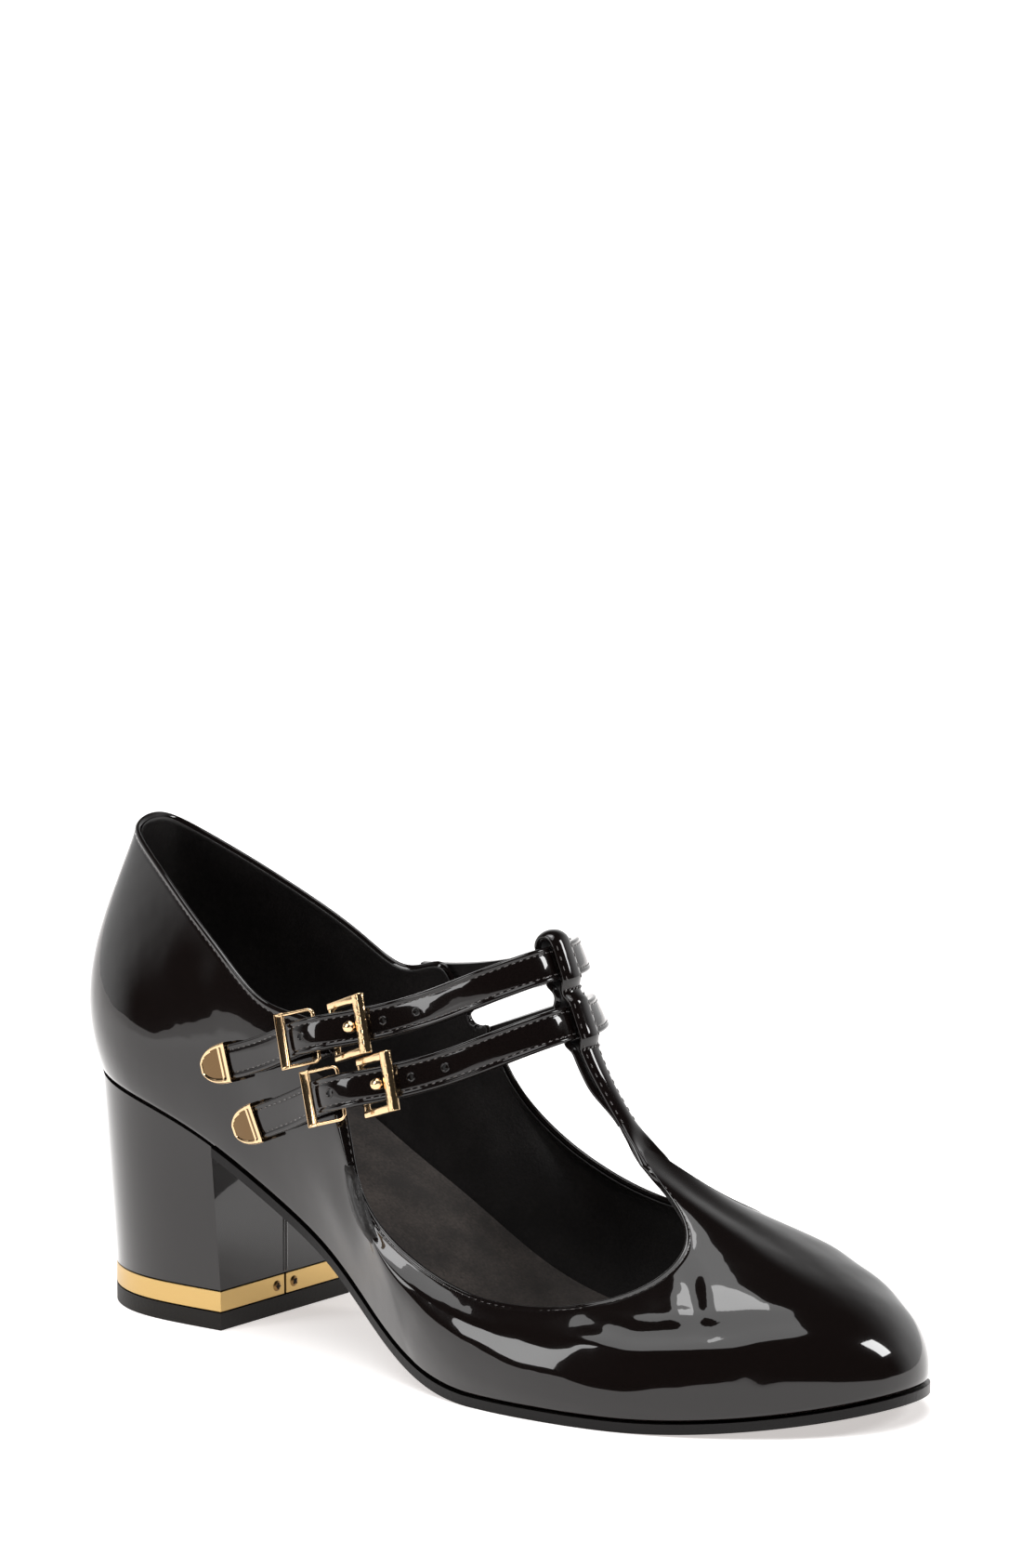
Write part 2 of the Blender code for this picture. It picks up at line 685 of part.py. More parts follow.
def build_screw(name, face):
    """Round screw head, flush with the band's face."""
    work = bmesh.new()
    turn = Matrix.Rotation(math.radians(90), 4, "Y")
    depth = BAND_THICKNESS + GAP / 2
    centre = Matrix.Translation(Vector(face) - Vector((depth / 2 - GAP / 2, 0.0, 0.0)))
    bmesh.ops.create_cone(work, cap_ends=True, segments=14, radius1=SCREW_DIAMETER / 2,
                          radius2=SCREW_DIAMETER / 2, depth=depth, matrix=centre @ turn)
    return new_object(name, finish_mesh(work, name), "screw")


def quarter_spot(along, rise, side):
    """Point of the upper's outer face at a place along the shoe and a height, with its outward direction."""
    x = along * LENGTH
    z = float(bottom_height(x)) + rise * COLLAR_RISE
    rings = side * np.linspace(0.2, 0.6, 41)
    heights = np.linspace(0.2, 1.0, 41)
    grid = upper_point(rings[:, None], heights[None, :])
    ring, height = np.unravel_index(np.argmin(np.hypot(grid[..., 0] - x, grid[..., 2] - z)), grid.shape[:2])
    spot = np.array([rings[ring], heights[height]])
    small = 1e-4
    for _ in range(6):
        point = upper_point(spot[0], spot[1])
        by_u = (upper_point(spot[0] + small, spot[1]) - point) / small
        by_v = (upper_point(spot[0], spot[1] + small) - point) / small
        system = np.array([[by_u[0], by_v[0]], [by_u[2], by_v[2]]])
        spot = spot + np.linalg.solve(system, np.array([x - point[0], z - point[2]]))
    return upper_point(spot[0], spot[1]), upper_normal(spot[0], spot[1])


class Strap:
    """Path of one strap from its lateral tip, over the wing, through the bar's loop, to the medial quarter."""

    def __init__(self, level, drop):
        stations = STRAP_STATIONS[level]
        tip, tail, rail = [quarter_spot(along, rise, 1) for along, rise in stations[:3]]
        wing, sewn = [quarter_spot(along, rise, -1) for along, rise in stations[3:]]
        step = bar_step_below_top(drop)
        middle = bar_point(step)
        bar_ahead = bar_frame(step)[1]
        plan = rail[0] - tail[0]
        plan[2] = 0.0
        climb = (middle[2] - rail[0][2]) / float(np.hypot(*(middle - rail[0])[:2]))
        forward = unit(unit(plan) + np.array([0.0, 0.0, climb]))
        inward = -rail[1]
        hinge = rail[0] + forward * HINGE_AHEAD[level] + inward * HINGE_AHEAD[level] * 0.05
        bend = unit(forward + inward * 0.30)
        far = hinge + bend * FRAME_REACH
        side = np.array([0.0, 1.0, 0.0])
        clear = side * (BAR_WIDTH / 2 + GAP)
        points = [tip[0], tail[0], rail[0], hinge, far]
        points += arch(far, unit(forward + inward * 0.45), middle - clear, side, LATERAL_LEAD, LATERAL_STEPS)
        points += [middle - clear, middle, middle + clear]
        turned = unit(side - MEDIAL_TURN * np.array([1.0, 0.0, 0.0]))
        points += arch(middle + clear, turned, wing[0], unit(sewn[0] - wing[0]), MEDIAL_LEAD, MEDIAL_STEPS)
        points += [wing[0], sewn[0]]
        points = np.array(points)
        run = np.concatenate([[0.0], np.cumsum(np.linalg.norm(np.diff(points, axis=0), axis=1))])
        facing = {0: tip[1], 1: tail[1], 2: rail[1], 3: rail[1], 4: unit(rail[1] + forward * 0.25), 7: bar_ahead,
                  8: bar_ahead, 9: bar_ahead, 12: wing[1], 13: sewn[1]}
        held = run[list(facing)]
        ways = np.array(list(facing.values()))
        self.path = [Curve(run, points[:, axis]) for axis in range(3)]
        self.facing = [Curve(held, ways[:, axis]) for axis in range(3)]
        self.length = float(run[-1])
        self.rail_run = float(run[2])
        self.hinge_run = float(run[3])
        self.far_run = float(run[4])
        self.lift = self.lift_curve(run)

    def lift_curve(self, run):
        """Height of the strap's middle over its base line: over the tip, keeper, tab and hinge, then level."""
        half = STRAP_THICKNESS / 2
        tip = GAP + TIP_THICKNESS / 2
        over_tab = 2 * GAP + TAB_THICKNESS + half
        over_wire = over_tab + KEEPER_WIRE + 2 * GAP
        sewn = GAP + half
        rail = (tip + over_wire) / 2
        knots = [0.0, run[1], self.rail_run, self.rail_run + KEEPER_REACH, self.hinge_run + HINGE_RADIUS]
        knots += [self.far_run, run[6], run[8], run[12], run[13]]
        lifts = [tip, tip, rail, over_wire, (over_wire + over_tab) / 2, half, half / 2, 0.0, sewn * 1.5, sewn]
        return Curve(knots, lifts)

    def base(self, run):
        """Place on the base line, with its forward, across and outward directions."""
        place = np.array([float(curve(run)) for curve in self.path])
        forward = unit(np.array([float(curve.slope(run)) for curve in self.path]))
        out = np.array([float(curve(run)) for curve in self.facing])
        out = unit(out - forward * np.dot(out, forward))
        return place, forward, np.cross(out, forward), out

    def at(self, run, forward_by=0.0, across_by=0.0, lift=0.0):
        """Point over the base line at a distance from the tip."""
        place, forward, across, out = self.base(run)
        return place + forward * forward_by + across * across_by + out * lift

    def surface(self, run, across_by, side):
        """Point on the strap's outer (1) or inner (-1) face."""
        return self.at(run, 0.0, across_by, float(self.lift(run)) + side * STRAP_THICKNESS / 2)


def arch(start, start_way, end, end_way, lead, steps):
    """Points of a free arch between two ends, which leaves its start straight over a share of its span."""
    span = np.linalg.norm(end - start)
    leave = start + start_way * span * lead
    reach = end - end_way * span * LATERAL_LEAD
    places = []
    for t in steps:
        places.append((1 - t)**3 * start + 3 * t * (1 - t)**2 * leave + 3 * t * t * (1 - t) * reach + t**3 * end)
    return places


def build_strap(level, strap):
    """Flat strap with the prong's hole."""
    def face(side):
        def place(along, across):
            return strap.surface(along * strap.length, (across - 0.5) * STRAP_WIDTH, side)
        return place
    item = slab("strap_" + level, "patent", STRAP_STEPS, 1, face(1), face(-1))
    run = prong_hole_run(strap)
    low = to_frame(strap.surface(run, 0.0, -1) - strap.base(run)[3] * STRAP_THICKNESS)
    high = to_frame(strap.surface(run, 0.0, 1) + strap.base(run)[3] * STRAP_THICKNESS)
    cut(item, cutter_rod("prong_hole_" + level, np.array(low), np.array(high), PRONG_HOLE / 2))


def prong_hole_run(strap):
    """Place of the hole that the prong comes up through."""
    return strap.hinge_run + (strap.far_run - strap.hinge_run) * 0.58


def build_tip(level, strap):
    """Bullet-shaped metal cap on the strap's end."""
    def face(side):
        def place(along, across):
            half = TIP_WIDTH / 2 * math.sqrt(max(1.0 - along**2.3, 0.0))
            thick = TIP_THICKNESS / 2 * (1.0 - 0.35 * along**2)
            lift = float(strap.lift(0.0)) + side * thick
            return strap.at(0.0, -GAP - along * TIP_LENGTH, (2 * across - 1) * half, lift)
        return place
    return slab("strap_tip_" + level, "gold", 10, 6, face(1), face(-1))


def build_tab(level, strap):
    """Leather tab on the wing, folded round the buckle's hinge bar."""
    start = strap.rail_run + TAB_SETBACK
    centre_lift = -HINGE_RADIUS
    radius = HINGE_RADIUS + GAP + TAB_THICKNESS / 2
    legs = [(run, 0.0, centre_lift + radius, 90.0) for run in np.linspace(start, strap.hinge_run, 6)]
    for angle in np.linspace(90.0, -90.0, 11)[1:]:
        turn = math.radians(angle)
        legs.append((strap.hinge_run, radius * math.cos(turn), centre_lift + radius * math.sin(turn), angle))
    legs.append((strap.hinge_run, -TAB_RETURN, centre_lift - radius, -90.0))

    def face(side):
        def place(along, across):
            run, ahead, lift, angle = legs[round(along * (len(legs) - 1))]
            shift = side * TAB_THICKNESS / 2
            turn = math.radians(angle)
            across_by = (across - 0.5) * TAB_WIDTH
            return strap.at(run, ahead + shift * math.cos(turn), across_by, lift + shift * math.sin(turn))
        return place
    return slab("buckle_tab_" + level, "patent", len(legs) - 1, 2, face(1), face(-1))


def flat_frame(name, sizes, axes):
    """Flat rectangular frame with rounded edges. Sizes: back rail, reach, end rail, side rail, opening, thickness."""
    back, reach, end, side, opening, thickness = sizes
    centre, forward, across, out = axes
    long_places = [-back / 2, back / 2, reach - end / 2, reach + end / 2]
    wide_places = [-opening / 2 - side, -opening / 2, opening / 2, opening / 2 + side]
    work = bmesh.new()
    for vert, along, wide in add_grid(work, 3, 3):
        vert.co = Vector((long_places[round(along * 3)], wide_places[round(wide * 3)], -thickness / 2))
    hole = [face for face in work.faces if len([edge for edge in face.edges if edge.is_boundary]) == 0]
    bmesh.ops.delete(work, geom=hole, context="FACES")
    made = bmesh.ops.extrude_face_region(work, geom=work.faces[:])
    for item in made["geom"]:
        if isinstance(item, bmesh.types.BMVert):
            item.co.z += thickness
    bmesh.ops.recalc_face_normals(work, faces=work.faces)
    sharp = [edge for edge in work.edges if edge.calc_face_angle(0.0) > 1.0]
    bmesh.ops.bevel(work, geom=sharp, offset=min(thickness, side) * 0.27, segments=1, profile=0.5,
                    affect="EDGES", material=-1)
    turn = Matrix((forward, across, out)).transposed().to_4x4()
    bmesh.ops.transform(work, matrix=Matrix.Translation(to_frame(centre)) @ turn, verts=work.verts)
    return new_object(name, finish_mesh(work, name), "gold")


def tilted_axes(start, end, across):
    """Axes of a flat frame that runs from one point to another."""
    forward = unit(end - start)
    across = unit(across - forward * np.dot(across, forward))
    return start, forward, across, np.cross(forward, across)


def frame_rise(lean, width):
    """Extra height that a leaning flat rail needs so that its lower edge stays clear."""
    return lean * width * 0.6


def build_buckle(level, strap):
    """Rectangular buckle frame: its hinge bar in the tab's fold, its end bar over the strap."""
    hinge = strap.at(strap.hinge_run, lift=-HINGE_RADIUS)
    over = float(strap.lift(strap.far_run)) + STRAP_THICKNESS / 2 + GAP + FRAME_THICKNESS / 2
    lean = (over + HINGE_RADIUS) / FRAME_REACH
    far = strap.at(strap.far_run, lift=over + frame_rise(lean, FRAME_END_WIDTH))
    axes = tilted_axes(hinge, far, strap.base(strap.hinge_run)[2])
    reach = float(np.linalg.norm(far - hinge))
    opening = STRAP_WIDTH + 2 * FRAME_PLAY
    sizes = (2 * HINGE_RADIUS, reach, FRAME_END_WIDTH, FRAME_SIDE_WIDTH, opening, FRAME_THICKNESS)
    flat_frame("buckle_frame_" + level, sizes, axes)


def build_keeper(level, strap):
    """Rectangular keeper: its broad rail over the strap, its other rail under it."""
    apart = STRAP_THICKNESS / 2 + GAP + KEEPER_WIRE / 2
    lean = 2 * apart / KEEPER_REACH
    under_run = strap.rail_run + KEEPER_REACH
    rail = strap.at(strap.rail_run, lift=float(strap.lift(strap.rail_run)) + apart + frame_rise(lean, KEEPER_RAIL))
    under = strap.at(under_run, lift=float(strap.lift(under_run)) - apart - frame_rise(lean, KEEPER_WIRE))
    axes = tilted_axes(rail, under, strap.base(strap.rail_run)[2])
    reach = float(np.linalg.norm(under - rail))
    opening = STRAP_WIDTH + 2 * KEEPER_PLAY
    sizes = (KEEPER_RAIL, reach, KEEPER_WIRE, KEEPER_WIRE, opening, KEEPER_WIRE)
    flat_frame("keeper_" + level, sizes, axes)


def build_prong(level, strap):
    """Prong: under the strap, up through its hole, and against the end bar."""
    under = -STRAP_THICKNESS / 2 - GAP - PRONG_RADIUS
    start = strap.hinge_run + HINGE_RADIUS + GAP + TAB_THICKNESS + GAP + PRONG_RADIUS
    hole = prong_hole_run(strap)
    end = strap.far_run - FRAME_END_WIDTH / 2 - GAP - PRONG_RADIUS
    route = [(start, under), ((start + hole) / 2, under), (hole - PRONG_RADIUS / 2, under / 2),
             (hole, 0.0), (hole + PRONG_RADIUS / 2, -under / 2), ((hole + end) / 2, -under), (end, -under)]
    ways = np.gradient(np.array(route), axis=0)
    work = bmesh.new()
    for vert, along, turn in add_grid(work, len(route) - 1, 10):
        place = round(along * (len(route) - 1))
        run, lift = route[place]
        ahead, rise = unit(ways[place])
        outwards = PRONG_RADIUS * math.sin(turn * math.tau)
        across_by = PRONG_RADIUS * math.cos(turn * math.tau)
        lift += float(strap.lift(run)) + ahead * outwards
        vert.co = to_frame(strap.at(run - rise * outwards, 0.0, across_by, lift))
    bmesh.ops.remove_doubles(work, verts=work.verts, dist=2e-6)
    bmesh.ops.holes_fill(work, edges=[edge for edge in work.edges if edge.is_boundary])
    new_object("prong_" + level, finish_mesh(work, "prong_" + level), "gold")


def main():
    """Build every piece of the shoe."""
    build_upper()
    build_outsole()
    build_insole()
    build_heel_block()
    build_top_piece()
    build_heel_band()
    for level, drop in (("upper", STRAP_WIDTH / 2), ("lower", STRAP_WIDTH / 2 + STRAP_PITCH)):
        strap = Strap(level, drop)
        build_strap(level, strap)
        build_tip(level, strap)
        build_tab(level, strap)
        build_buckle(level, strap)
        build_prong(level, strap)
        build_keeper(level, strap)


main()
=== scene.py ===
"""Looks of the T strap shoe: patent upper, straps, gold fittings, lining, heel and sole on a pale floor.

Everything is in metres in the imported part's frame: toe +X, wearer's left +Y, up +Z, the origin under
the middle of the heel. The surface functions are those of the part's source, drawn finer here.
"""

from __future__ import annotations

import logging
import math
from dataclasses import dataclass
from enum import Enum
from typing import Any, Callable, Sequence

import bmesh
import bpy
import numpy as np
from mathutils import Matrix, Vector

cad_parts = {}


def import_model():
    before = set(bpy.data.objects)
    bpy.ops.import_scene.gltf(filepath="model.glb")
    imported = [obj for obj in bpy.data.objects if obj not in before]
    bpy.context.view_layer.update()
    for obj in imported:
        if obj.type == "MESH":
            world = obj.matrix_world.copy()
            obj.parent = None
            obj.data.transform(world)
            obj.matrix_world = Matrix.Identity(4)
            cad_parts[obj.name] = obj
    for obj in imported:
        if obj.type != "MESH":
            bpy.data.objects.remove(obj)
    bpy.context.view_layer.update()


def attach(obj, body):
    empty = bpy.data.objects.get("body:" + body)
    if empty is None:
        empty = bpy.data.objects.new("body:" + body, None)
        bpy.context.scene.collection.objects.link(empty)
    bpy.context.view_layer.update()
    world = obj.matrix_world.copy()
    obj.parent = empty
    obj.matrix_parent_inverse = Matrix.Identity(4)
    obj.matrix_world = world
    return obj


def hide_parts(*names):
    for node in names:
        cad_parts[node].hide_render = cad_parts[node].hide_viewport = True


LOG = logging.getLogger("t_strap_shoe")
Array = np.ndarray
Tree, Socket = bpy.types.NodeTree, bpy.types.NodeSocket
Work, Vert, Edge, Face = bmesh.types.BMesh, bmesh.types.BMVert, bmesh.types.BMEdge, bmesh.types.BMFace
PlaceFunction = Callable[[Array, Array], Array]

# Sizes of the part in metres, as in its source
GAP = 0.0003
WALL = 0.0017
SOLE_THICKNESS = 0.0023
SOLE_EDGE = 0.0004
INSOLE_THICKNESS = 0.0028
TOP_PIECE_HEIGHT = 0.0041
BAND_HEIGHT = 0.0049
BAND_THICKNESS = 0.0008
BAND_SLIT = 0.0007
SCREW_DIAMETER = 0.0026
SCREW_SPACING = 0.0062
BAR_WIDTH = 0.0070
STRAP_WIDTH = 0.0080
STRAP_THICKNESS = 0.0018
STRAP_PITCH = 0.0140
LOOP_PLAY = 0.0002
TAB_THICKNESS = 0.0011
TAB_WIDTH = 0.0062
TAB_RETURN = 0.0010
TAB_SETBACK = 0.0026
HINGE_RADIUS = 0.0008
FRAME_REACH = 0.0090
FRAME_END_WIDTH = 0.0032
FRAME_SIDE_WIDTH = 0.0019
FRAME_THICKNESS = 0.0016
FRAME_PLAY = 0.0010
PRONG_RADIUS = 0.00075
KEEPER_REACH = 0.0072
KEEPER_RAIL = 0.0023
KEEPER_WIRE = 0.0009
KEEPER_PLAY = 0.0016
TIP_LENGTH = 0.0096
TIP_WIDTH = 0.0094
TIP_THICKNESS = 0.0034

# Distances under which vertices are joined, in metres
MERGE = 1e-7
WELD = 2e-6


class Side(Enum):
    """Side of the shoe: the sign of a place round the ring."""

    LATERAL = 1
    MEDIAL = -1


class Level(Enum):
    """Which of the two straps a piece belongs to."""

    UPPER = "upper"
    LOWER = "lower"


class Grain(Enum):
    """How a metal's surface was finished."""

    POLISHED = "polished"
    BRUSHED = "brushed"
    HAMMERED = "hammered"


def linear(hex_code: str) -> tuple[float, float, float, float]:
    """Turn an sRGB hex colour to linear values.

    Args:
        hex_code: six hex digits, with or without a leading hash.

    Returns:
        Red, green, blue and an alpha of one.
    """
    digits = hex_code.lstrip("#")
    shares = [int(digits[i:i + 2], 16) / 255 for i in (0, 2, 4)]
    values = [s / 12.92 if s <= 0.04045 else ((s + 0.055) / 1.055) ** 2.4 for s in shares]
    return (values[0], values[1], values[2], 1.0)


def add_node(tree: Tree, kind: str, settings: dict[Any, Any] | None = None,
             links: dict[Any, Any] | None = None) -> bpy.types.Node:
    """Add a node with its settings and links.

    Args:
        tree: the node tree.
        kind: the node's type name.
        settings: attribute names, or input names or numbers, with their values.
        links: input names or numbers, with the sockets that feed them.

    Returns:
        The new node.
    """
    node = tree.nodes.new(kind)
    for key, value in (settings or {}).items():
        if isinstance(key, str) and key[0].islower():
            setattr(node, key, value)
        else:
            node.inputs[key].default_value = value
    for key, socket in (links or {}).items():
        tree.links.new(socket, node.inputs[key])
    return node


# Wearing creases: both ends as places round the shoe and up its face, then width and depth in millimetres.
# Each has a lip on both sides, a number of widths away, and fades out at its ends.
CREASE_LIP = 1.7
CREASE_FADE = 0.6
CREASES = (
    ((0.792, 0.64), (0.872, 0.50), 2.4, 0.60), ((0.858, 0.53), (0.960, 0.30), 2.3, 0.56),
    ((0.876, 0.90), (0.846, 0.55), 2.3, 0.58), ((0.770, 0.84), (0.812, 0.62), 2.6, 0.44),
    ((0.905, 0.80), (0.935, 0.52), 3.4, 0.20), ((0.850, 0.21), (0.892, 0.19), 2.6, 0.20),
    ((0.735, 0.44), (0.800, 0.34), 4.0, 0.30), ((0.660, 0.42), (0.735, 0.62), 4.6, 0.28),
    ((0.455, 0.62), (0.500, 0.42), 6.0, 0.45), ((0.520, 0.30), (0.600, 0.50), 6.5, 0.34),
    ((0.215, 0.93), (0.205, 0.62), 5.0, 0.20), ((0.165, 0.60), (0.185, 0.35), 5.5, 0.20),
    ((0.240, 0.50), (0.300, 0.32), 6.0, 0.18), ((-0.860, 0.80), (-0.900, 0.50), 3.2, 0.22),
    ((-0.930, 0.62), (-0.860, 0.36), 3.2, 0.20), ((-0.960, 0.40), (-0.900, 0.20), 3.4, 0.12),
    ((-0.520, 0.52), (-0.580, 0.36), 6.0, 0.22),
)


def smooth_share(value: Array | float, low: float, high: float) -> Any:
    """Ease from 0 at low to 1 at high."""
    share = np.clip((np.asarray(value, float) - low) / (high - low), 0.0, 1.0)
    return share * share * (3 - 2 * share)


def unit(vector: Array) -> Array:
    """Scale vectors to length one."""
    return vector / np.linalg.norm(vector, axis=-1, keepdims=True)


# Finishes

PATENT_BLACK = "#0f0a09"
BRUSH_SCALE = (60.0, 60.0, 5200.0)
# Size in millimetres, detail, and depth in millimetres of the marks that each grain leaves
GRAIN_MARKS = {
    Grain.POLISHED: (2.4, 1.0, 0.04),
    Grain.BRUSHED: (1000.0, 3.0, 0.012),
    Grain.HAMMERED: (1.5, 2.0, 0.16),
}


def add_noise(tree: Tree, where: Socket, size_mm: float,
              detail: float) -> Socket:
    """Add noise with features of a size in millimetres."""
    settings = {"Scale": 1000 / size_mm, "Detail": detail}
    return add_node(tree, "ShaderNodeTexNoise", settings, {"Vector": where}).outputs["Fac"]


def add_bump(tree: Tree, depth_mm: float, height: Socket, strength: float = 1.0,
             over: Socket | None = None) -> Socket:
    """Add a bump and give its normal.

    Args:
        tree: the node tree.
        depth_mm: depth in millimetres.
        height: socket of the height.
        strength: share of the depth that shows.
        over: normal of a bump that lies under this one.

    Returns:
        The socket of the new normal.
    """
    links = {"Height": height} if over is None else {"Height": height, "Normal": over}
    settings = {"Distance": depth_mm / 1000, "Strength": strength}
    return add_node(tree, "ShaderNodeBump", settings, links).outputs["Normal"]


@dataclass(frozen=True)
class Finish:
    """A material: its name, colour and gloss."""

    name: str
    colour: str
    roughness: float

    def build(self) -> bpy.types.Material:
        """Make the material."""
        material = bpy.data.materials.new(self.name)
        material.use_nodes = True
        tree = material.node_tree
        shader = tree.nodes["Principled BSDF"]
        shader.inputs["Base Color"].default_value = linear(self.colour)
        shader.inputs["Roughness"].default_value = self.roughness
        where = add_node(tree, "ShaderNodeTexCoord").outputs["Object"]
        tree.links.new(self.dress(tree, shader.inputs, where), shader.inputs["Normal"])
        return material

    def dress(self, tree: Tree, inputs: Any, where: Socket) -> Socket:
        """Add the surface's own detail and give its normal."""
        raise NotImplementedError


@dataclass(frozen=True)
class PatentLeather(Finish):
    """Patent leather: black hide under a poured lacquer, so deep gloss over a faintly wavy face."""

    wave_mm: float = 13.0
    wave_depth_mm: float = 0.16
    peel_mm: float = 3.2
    peel_depth_mm: float = 0.0035
    detail: float = 2.0
    base_gloss: float = 0.05
    coat_roughness: float = 0.03
    coat_ior: float = 1.5

    def dress(self, tree: Tree, inputs: Any, where: Socket) -> Socket:
        """Add the lacquer coat, its slow waves and its fine peel."""
        inputs["Specular IOR Level"].default_value = self.base_gloss
        inputs["Coat Weight"].default_value = 1.0
        inputs["Coat Roughness"].default_value = self.coat_roughness
        inputs["Coat IOR"].default_value = self.coat_ior
        slow = add_bump(tree, self.wave_depth_mm, add_noise(tree, where, self.wave_mm, self.detail))
        peel = add_noise(tree, where, self.peel_mm, self.detail)
        fine = add_bump(tree, self.peel_depth_mm, peel, over=slow)
        tree.links.new(fine, inputs["Coat Normal"])
        return fine


@dataclass(frozen=True)
class MattLeather(Finish):
    """Lining leather: fine pores and a soft, uneven sheen, lighter where the fibres stand up."""

    fleck: str = "#3a322f"
    fleck_span: tuple[float, float] = (0.16, 0.60)
    grain_mm: float = 0.55
    grain_depth_mm: float = 0.05
    grain_strength: float = 0.6
    cloud_mm: float = 9.0
    cloud_detail: float = 4.0
    speck_mm: float = 0.7
    speck_detail: float = 3.0

    def dress(self, tree: Tree, inputs: Any, where: Socket) -> Socket:
        """Add pores, flecks of lighter fibre and slow cloudiness."""
        pores = add_node(tree, "ShaderNodeTexVoronoi", {"Scale": 1000 / self.grain_mm}, {"Vector": where})
        cloud = add_noise(tree, where, self.cloud_mm, self.cloud_detail)
        speck = add_noise(tree, where, self.speck_mm, self.speck_detail)
        mixed = add_node(tree, "ShaderNodeMath", {"operation": "MULTIPLY"}, {0: cloud, 1: speck})
        ramp = add_node(tree, "ShaderNodeValToRGB", {}, {"Fac": mixed.outputs[0]})
        stops = zip(ramp.color_ramp.elements, self.fleck_span, (self.colour, self.fleck))
        for stop, position, colour in stops:
            stop.position = position
            stop.color = linear(colour)
        tree.links.new(ramp.outputs["Color"], inputs["Base Color"])
        return add_bump(tree, self.grain_depth_mm, pores.outputs["Distance"], self.grain_strength)


@dataclass(frozen=True)
class GoldPlate(Finish):
    """Pale gold plate on cast zinc: bright metal, polished, brushed along its length or lightly hammered."""

    grain: Grain = Grain.POLISHED

    def dress(self, tree: Tree, inputs: Any, where: Socket) -> Socket:
        """Add the metal and the marks of its finishing."""
        inputs["Metallic"].default_value = 1.0
        if self.grain is Grain.BRUSHED:
            stretched = add_node(tree, "ShaderNodeMapping", {"Scale": BRUSH_SCALE}, {"Vector": where})
            where = stretched.outputs["Vector"]
        size, detail, depth = GRAIN_MARKS[self.grain]
        return add_bump(tree, depth, add_noise(tree, where, size, detail))


@dataclass(frozen=True)
class Rubber(Finish):
    """Moulded rubber: even, faintly pitted, dull."""

    pit_mm: float = 0.8
    pit_detail: float = 3.0
    pit_depth_mm: float = 0.05
    gloss: float = 0.22

    def dress(self, tree: Tree, inputs: Any, where: Socket) -> Socket:
        """Add the mould's pitting."""
        inputs["Specular IOR Level"].default_value = self.gloss
        return add_bump(tree, self.pit_depth_mm, add_noise(tree, where, self.pit_mm, self.pit_detail))


@dataclass(frozen=True)
class WaxedThread(Finish):
    """Waxed polyester thread: dark, with a sheen that catches the light on each stitch."""

    ply_mm: float = 0.25
    ply_detail: float = 1.0
    ply_depth_mm: float = 0.03

    def dress(self, tree: Tree, inputs: Any, where: Socket) -> Socket:
        """Add the wax and the twist of the plies."""
        inputs["Coat Weight"].default_value = 1.0
        return add_bump(tree, self.ply_depth_mm, add_noise(tree, where, self.ply_mm, self.ply_detail))


class Finishes:
    """Every finish of the shoe, built once."""

    def __init__(self) -> None:
        """Build the materials."""
        self.patent = PatentLeather("patent_leather", PATENT_BLACK, 0.16).build()
        self.strap_patent = PatentLeather("patent_leather_strap", PATENT_BLACK, 0.16, 7.0, 0.07).build()
        self.heel_patent = PatentLeather("patent_leather_heel", PATENT_BLACK, 0.14, 20.0, 0.08).build()
        self.lining = MattLeather("lining_leather", "#1a1818", 0.40, fleck="#2e2b2a").build()
        self.sock = MattLeather("sock_leather", "#272321", 0.50, fleck="#524a45", grain_mm=0.7).build()
        self.sole = Rubber("moulded_rubber", "#0d0b0b", 0.30).build()
        self.top_piece = Rubber("top_piece_rubber", "#15120f", 0.5).build()
        self.gold = GoldPlate("polished_gold_plate", "#f0cda0", 0.12).build()
        self.hammered = GoldPlate("rippled_gold_plate", "#eecb9c", 0.13, Grain.HAMMERED).build()
        # Darker gold, with the tips' reflection of the dark surroundings painted into its colour
        self.dark_reflection_gold = GoldPlate("gold_plate_painted_dark_reflection", "#6e573c", 0.09).build()
        self.band = GoldPlate("brushed_gold_plate", "#cdac70", 0.33, Grain.BRUSHED).build()
        self.screw = GoldPlate("aged_brass", "#9a784c", 0.28).build()
        self.thread = WaxedThread("waxed_thread", "#3c3735", 0.24).build()
        # Near black for openings that are not cut: the painted shadow of holes and slots
        self.hole = MattLeather("painted_hole_shadow", "#020202", 0.8, fleck="#040404").build()


# Forms of the shoe, as in the part's source

# Tables by share of the length or of the way round: bend of the centre line; rise and toe spring of the
# lower edge; its plan; the top edge's plan and height; the wall's swell; the T bar's way and width; the
# spread of the ring's columns
BEND = ((0.00, 0.000), (0.20, 0.000), (0.45, -0.013), (0.68, -0.025), (0.85, 0.013), (1.00, 0.075))
PROFILE = (
    (0.000, 1.000, 0.00), (0.100, 0.938, 0.00), (0.210, 0.790, 0.00), (0.307, 0.581, 0.00),
    (0.373, 0.426, 0.00), (0.412, 0.316, 0.00), (0.456, 0.189, 0.00), (0.496, 0.098, 0.00),
    (0.550, 0.024, 0.00), (0.600, 0.000, 0.00), (0.660, 0.000, 0.00), (0.720, 0.000, 0.00),
    (0.780, 0.000, 0.01), (0.840, 0.000, 0.12), (0.920, 0.000, 0.46), (1.000, 0.000, 1.00),
)
FEATHER = (
    (0.00, 0.004, 0.00), (0.05, 0.020, 0.32), (0.11, 0.072, 0.585), (0.20, 0.170, 0.673), (0.32, 0.320, 0.655),
    (0.44, 0.445, 0.77), (0.56, 0.570, 0.96), (0.66, 0.680, 1.00), (0.76, 0.790, 0.93), (0.86, 0.890, 0.71),
    (0.94, 0.963, 0.375), (1.00, 0.985, 0.00),
)
